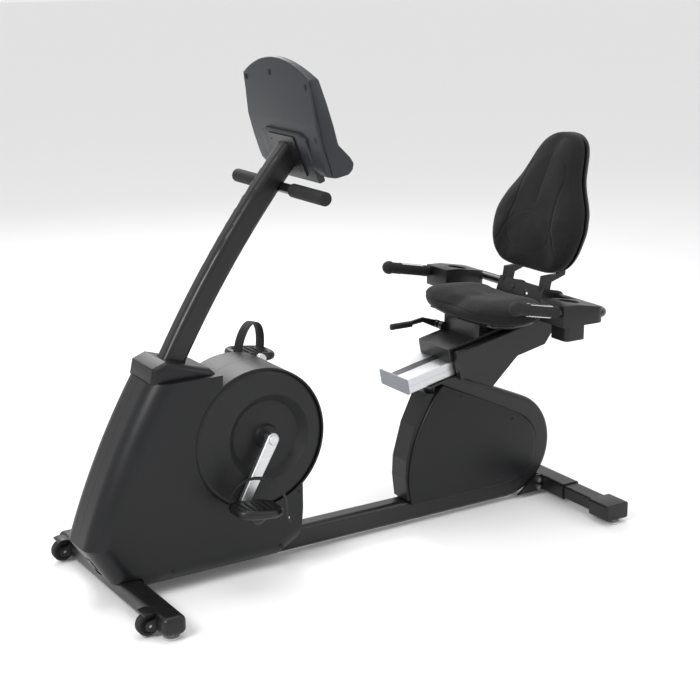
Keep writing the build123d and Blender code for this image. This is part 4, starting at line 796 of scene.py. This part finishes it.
# ---------------------------------------------------------------- rear cover halves
COVER_REAR = rel((790, 286), (838, 259), (875, 226), (894, 184), (892, 134), (868, 92), (826, 68),
                 (775, 60))
COVER_FRONT = rel((469, 60), (459, 110), (458, 160), (470, 226), (498, 290), (533, 352), (563, 392))
cover_outline = [(p.x, p.y) for p in curve(COVER_REAR, 5) + curve(COVER_FRONT, 5)]
for side, label in ((-1, "left"), (1, "right")):
    verts, faces = prism(cover_outline, 1, side * 0.0004, side * 0.0400)
    cover = add_object(f"cover_half_{label}", verts, faces, SHROUD, "frame")
    rounded(cover, 0.007, 4, 50)
    smooth(cover, 35)
    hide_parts(f"rear_cover_{label}")

# ---------------------------------------------------------------- screws of the shroud and the rear cover
SHROUD_SCREWS = rel((-272, 62), (30, 60), (78, 205), (-150, 522))
COVER_SCREWS = rel((530, 82), (625, 348), (808, 252), (752, 82))
first_screw = None
for side, label in ((-1, "left"), (1, "right")):
    for spots, depth in ((SHROUD_SCREWS, 0.0858), (COVER_SCREWS, 0.0399)):
        for x, z in spots:
            name = f"cover_screw_{label}_{round(1000 * (x + 1))}"
            # screw heads drawn in the near-black material: painted shade of the screw holes
            screw = screw_head(name, (x, side * depth, z), (0, side, 0), 0.0058, "frame", 0.0014, PAINTED_SHADE)
            first_screw = first_screw or screw
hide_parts("cover_screws")

# ---------------------------------------------------------------- pedals
REACH = (CRANK_LENGTH * math.cos(CRANK_ANGLE), CRANK_LENGTH * math.sin(CRANK_ANGLE))


def pedal_pieces(side, label, body):
    """Rounded platform, weighted keel and a foot strap that crosses it corner to corner."""
    centre = Vector((CRANK_X + side * REACH[0], side * PEDAL_Y, CRANK_Z + side * REACH[1]))

    def place(x, y, z):
        c, s = math.cos(PEDAL_TILT), math.sin(PEDAL_TILT)
        return centre + Vector((x * c + z * s, side * y, z * c - x * s))

    def ring(half_x, half_y, z, power=3.2):
        out = []
        for a in circle(PEDAL_STEPS):
            c, s = math.cos(a), math.sin(a)
            out.append(place(half_x * math.copysign(abs(c) ** (2 / power), c),
                             half_y * math.copysign(abs(s) ** (2 / power), s), z))
        return out

    # (half length, half width, height)
    platform = ((0.040, 0.034, -0.013), (0.056, 0.043, -0.0115), (0.0625, 0.0475, -0.007),
                (0.064, 0.049, 0.0), (0.063, 0.048, 0.006), (0.058, 0.045, 0.0105),
                (0.051, 0.041, 0.0112), (0.048, 0.038, 0.0088), (0.020, 0.018, 0.0082))
    verts, faces = loft([ring(*spot) for spot in platform])
    body_piece = add_object(f"pedal_platform_{label}", verts, faces, DARK, body)
    smooth(body_piece, 50)
    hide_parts(f"pedal_{label}")
    weight = ((0.030, 0.026, -0.011), (0.022, 0.024, -0.022), (0.011, 0.020, -0.031),
              (0.005, 0.016, -0.0335))
    verts, faces = loft([ring(*spot) for spot in weight])
    keel = add_object(f"pedal_keel_{label}", verts, faces, DARK, body)
    smooth(keel, 50)
    # raised treads
    for index in range(5):
        x = -0.036 + 0.018 * index
        pts = [place(x + dx, y, 0.0080)
               for dx, y in ((-0.002, -0.030), (0.002, -0.030), (0.002, 0.030), (-0.002, 0.030))]
        verts = pts + [p + (place(0, 0, 1) - place(0, 0, 0)) * 0.003 for p in pts]
        faces = [(0, 1, 2, 3), (7, 6, 5, 4)] + [(i, i + 4, (i + 1) % 4 + 4, (i + 1) % 4) for i in range(4)]
        tread = add_object(f"pedal_tread_{label}_{index}", verts, faces, TYRE, body)
        rounded(tread, 0.0008, 2)
    # strap
    start, end = Vector((-0.056, -0.035)), Vector((0.058, 0.050))
    across = Vector((-(end - start).y, (end - start).x)).normalized()
    rows = []
    for k in range(STRAP_STEPS + 1):
        a = math.pi * k / STRAP_STEPS
        mid = start + (end - start) * (1 - math.cos(a)) / 2
        height = -0.004 + 0.086 * math.sin(a) ** 0.85
        run = (end - start).normalized()
        norm = Vector((-run.x * math.cos(a), -run.y * math.cos(a), math.sin(a) + 0.2)).normalized()
        half = 0.0125
        section = ((-half, 0.0), (-half * 0.96, 0.0012), (0.0, 0.0017), (half * 0.96, 0.0012),
                   (half, 0.0), (half * 0.96, -0.0008), (0.0, -0.001), (-half * 0.96, -0.0008))
        rows.append([place(mid.x + across.x * u + norm.x * v, mid.y + across.y * u + norm.y * v,
                           height + norm.z * v) for u, v in section])
    verts, faces = loft(rows)
    strap = add_object(f"pedal_strap_{label}", verts, faces, TYRE, body)
    smooth(strap, 60)
    # loose end of the strap, below its stud
    tail = []
    for k in range(9):
        t = k / 8
        mid = end + (end - start).normalized() * (0.002 + 0.010 * t)
        drop = -0.006 - 0.012 * t
        tail.append([place(mid.x + across.x * u, mid.y + across.y * u, drop + v)
                     for u, v in ((-0.009, 0.0), (0.009, 0.0), (0.009, -0.002), (-0.009, -0.002))])
    verts, faces = loft(tail)
    add_object(f"strap_tail_{label}", verts, faces, TYRE, body)
    stud_at = place(end.x + 0.004, end.y + 0.004, -0.008)
    screw_head(f"strap_stud_{label}", stud_at, place(0.6, 0.8, 0) - place(0, 0, 0), 0.0032, body, 0.002)


pedal_pieces(-1, "left", "left_pedal")
pedal_pieces(1, "right", "right_pedal")


# ---------------------------------------------------------------- moulded parts with softer edges
def softened(node_name, width, material, body):
    """Copy of a moulded part with its hard edges rounded off."""
    mesh = nodes[node_name].data.copy()
    obj = bpy.data.objects.new(f"{node_name}_soft", mesh)
    scene.collection.objects.link(obj)
    mesh.materials.clear()
    mesh.materials.append(material)
    tidy_flat(obj)
    rounded(obj, width, 3, 30)
    smooth(obj, 45)
    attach(obj, body)
    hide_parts(node_name)


softened("mast_collar", 0.007, SHROUD, "frame")
for label in ("left", "right"):
    softened(f"front_end_cap_{label}", 0.006, DARK, "frame")
    softened(f"rear_end_cap_{label}", 0.005, DARK, "frame")
    softened(f"side_housing_{label}", 0.004, DARK, "seat")

# ---------------------------------------------------------------- floor, world and lights
mesh = bpy.data.meshes.new("floor")
mesh.from_pydata([(-30, -30, 0), (30, -30, 0), (30, 30, 0), (-30, 30, 0)], [], [(0, 1, 2, 3)])
floor = bpy.data.objects.new("floor", mesh)
scene.collection.objects.link(floor)
mesh.materials.append(new_material("floor", (0.86, 0.86, 0.86), 0.6)[0])

world = bpy.data.worlds.new("world")
scene.world = world
world.use_nodes = True
world.node_tree.nodes["Background"].inputs["Color"].default_value = (1, 1, 1, 1)
world.node_tree.nodes["Background"].inputs["Strength"].default_value = 0.86
scene.view_settings.view_transform = "Standard"


def area(name, location, target, size, power):
    data = bpy.data.lights.new(name, "AREA")
    data.energy = power
    data.size = size
    light = bpy.data.objects.new(name, data)
    light.location = location
    light.rotation_euler = (Vector(target) - Vector(location)).to_track_quat("-Z", "Y").to_euler()
    scene.collection.objects.link(light)


area("key", (-3.0, -1.2, 2.6), (-0.2, 0, 0.5), 1.3, 85)
area("fill", (2.6, -3.0, 2.2), (0, 0, 0.5), 2.0, 25)
area("rim", (0.6, 3.2, 3.0), (0, 0, 0.7), 2.0, 70)
area("top", (0, 0, 4.2), (0, 0, 0), 2.5, 50)
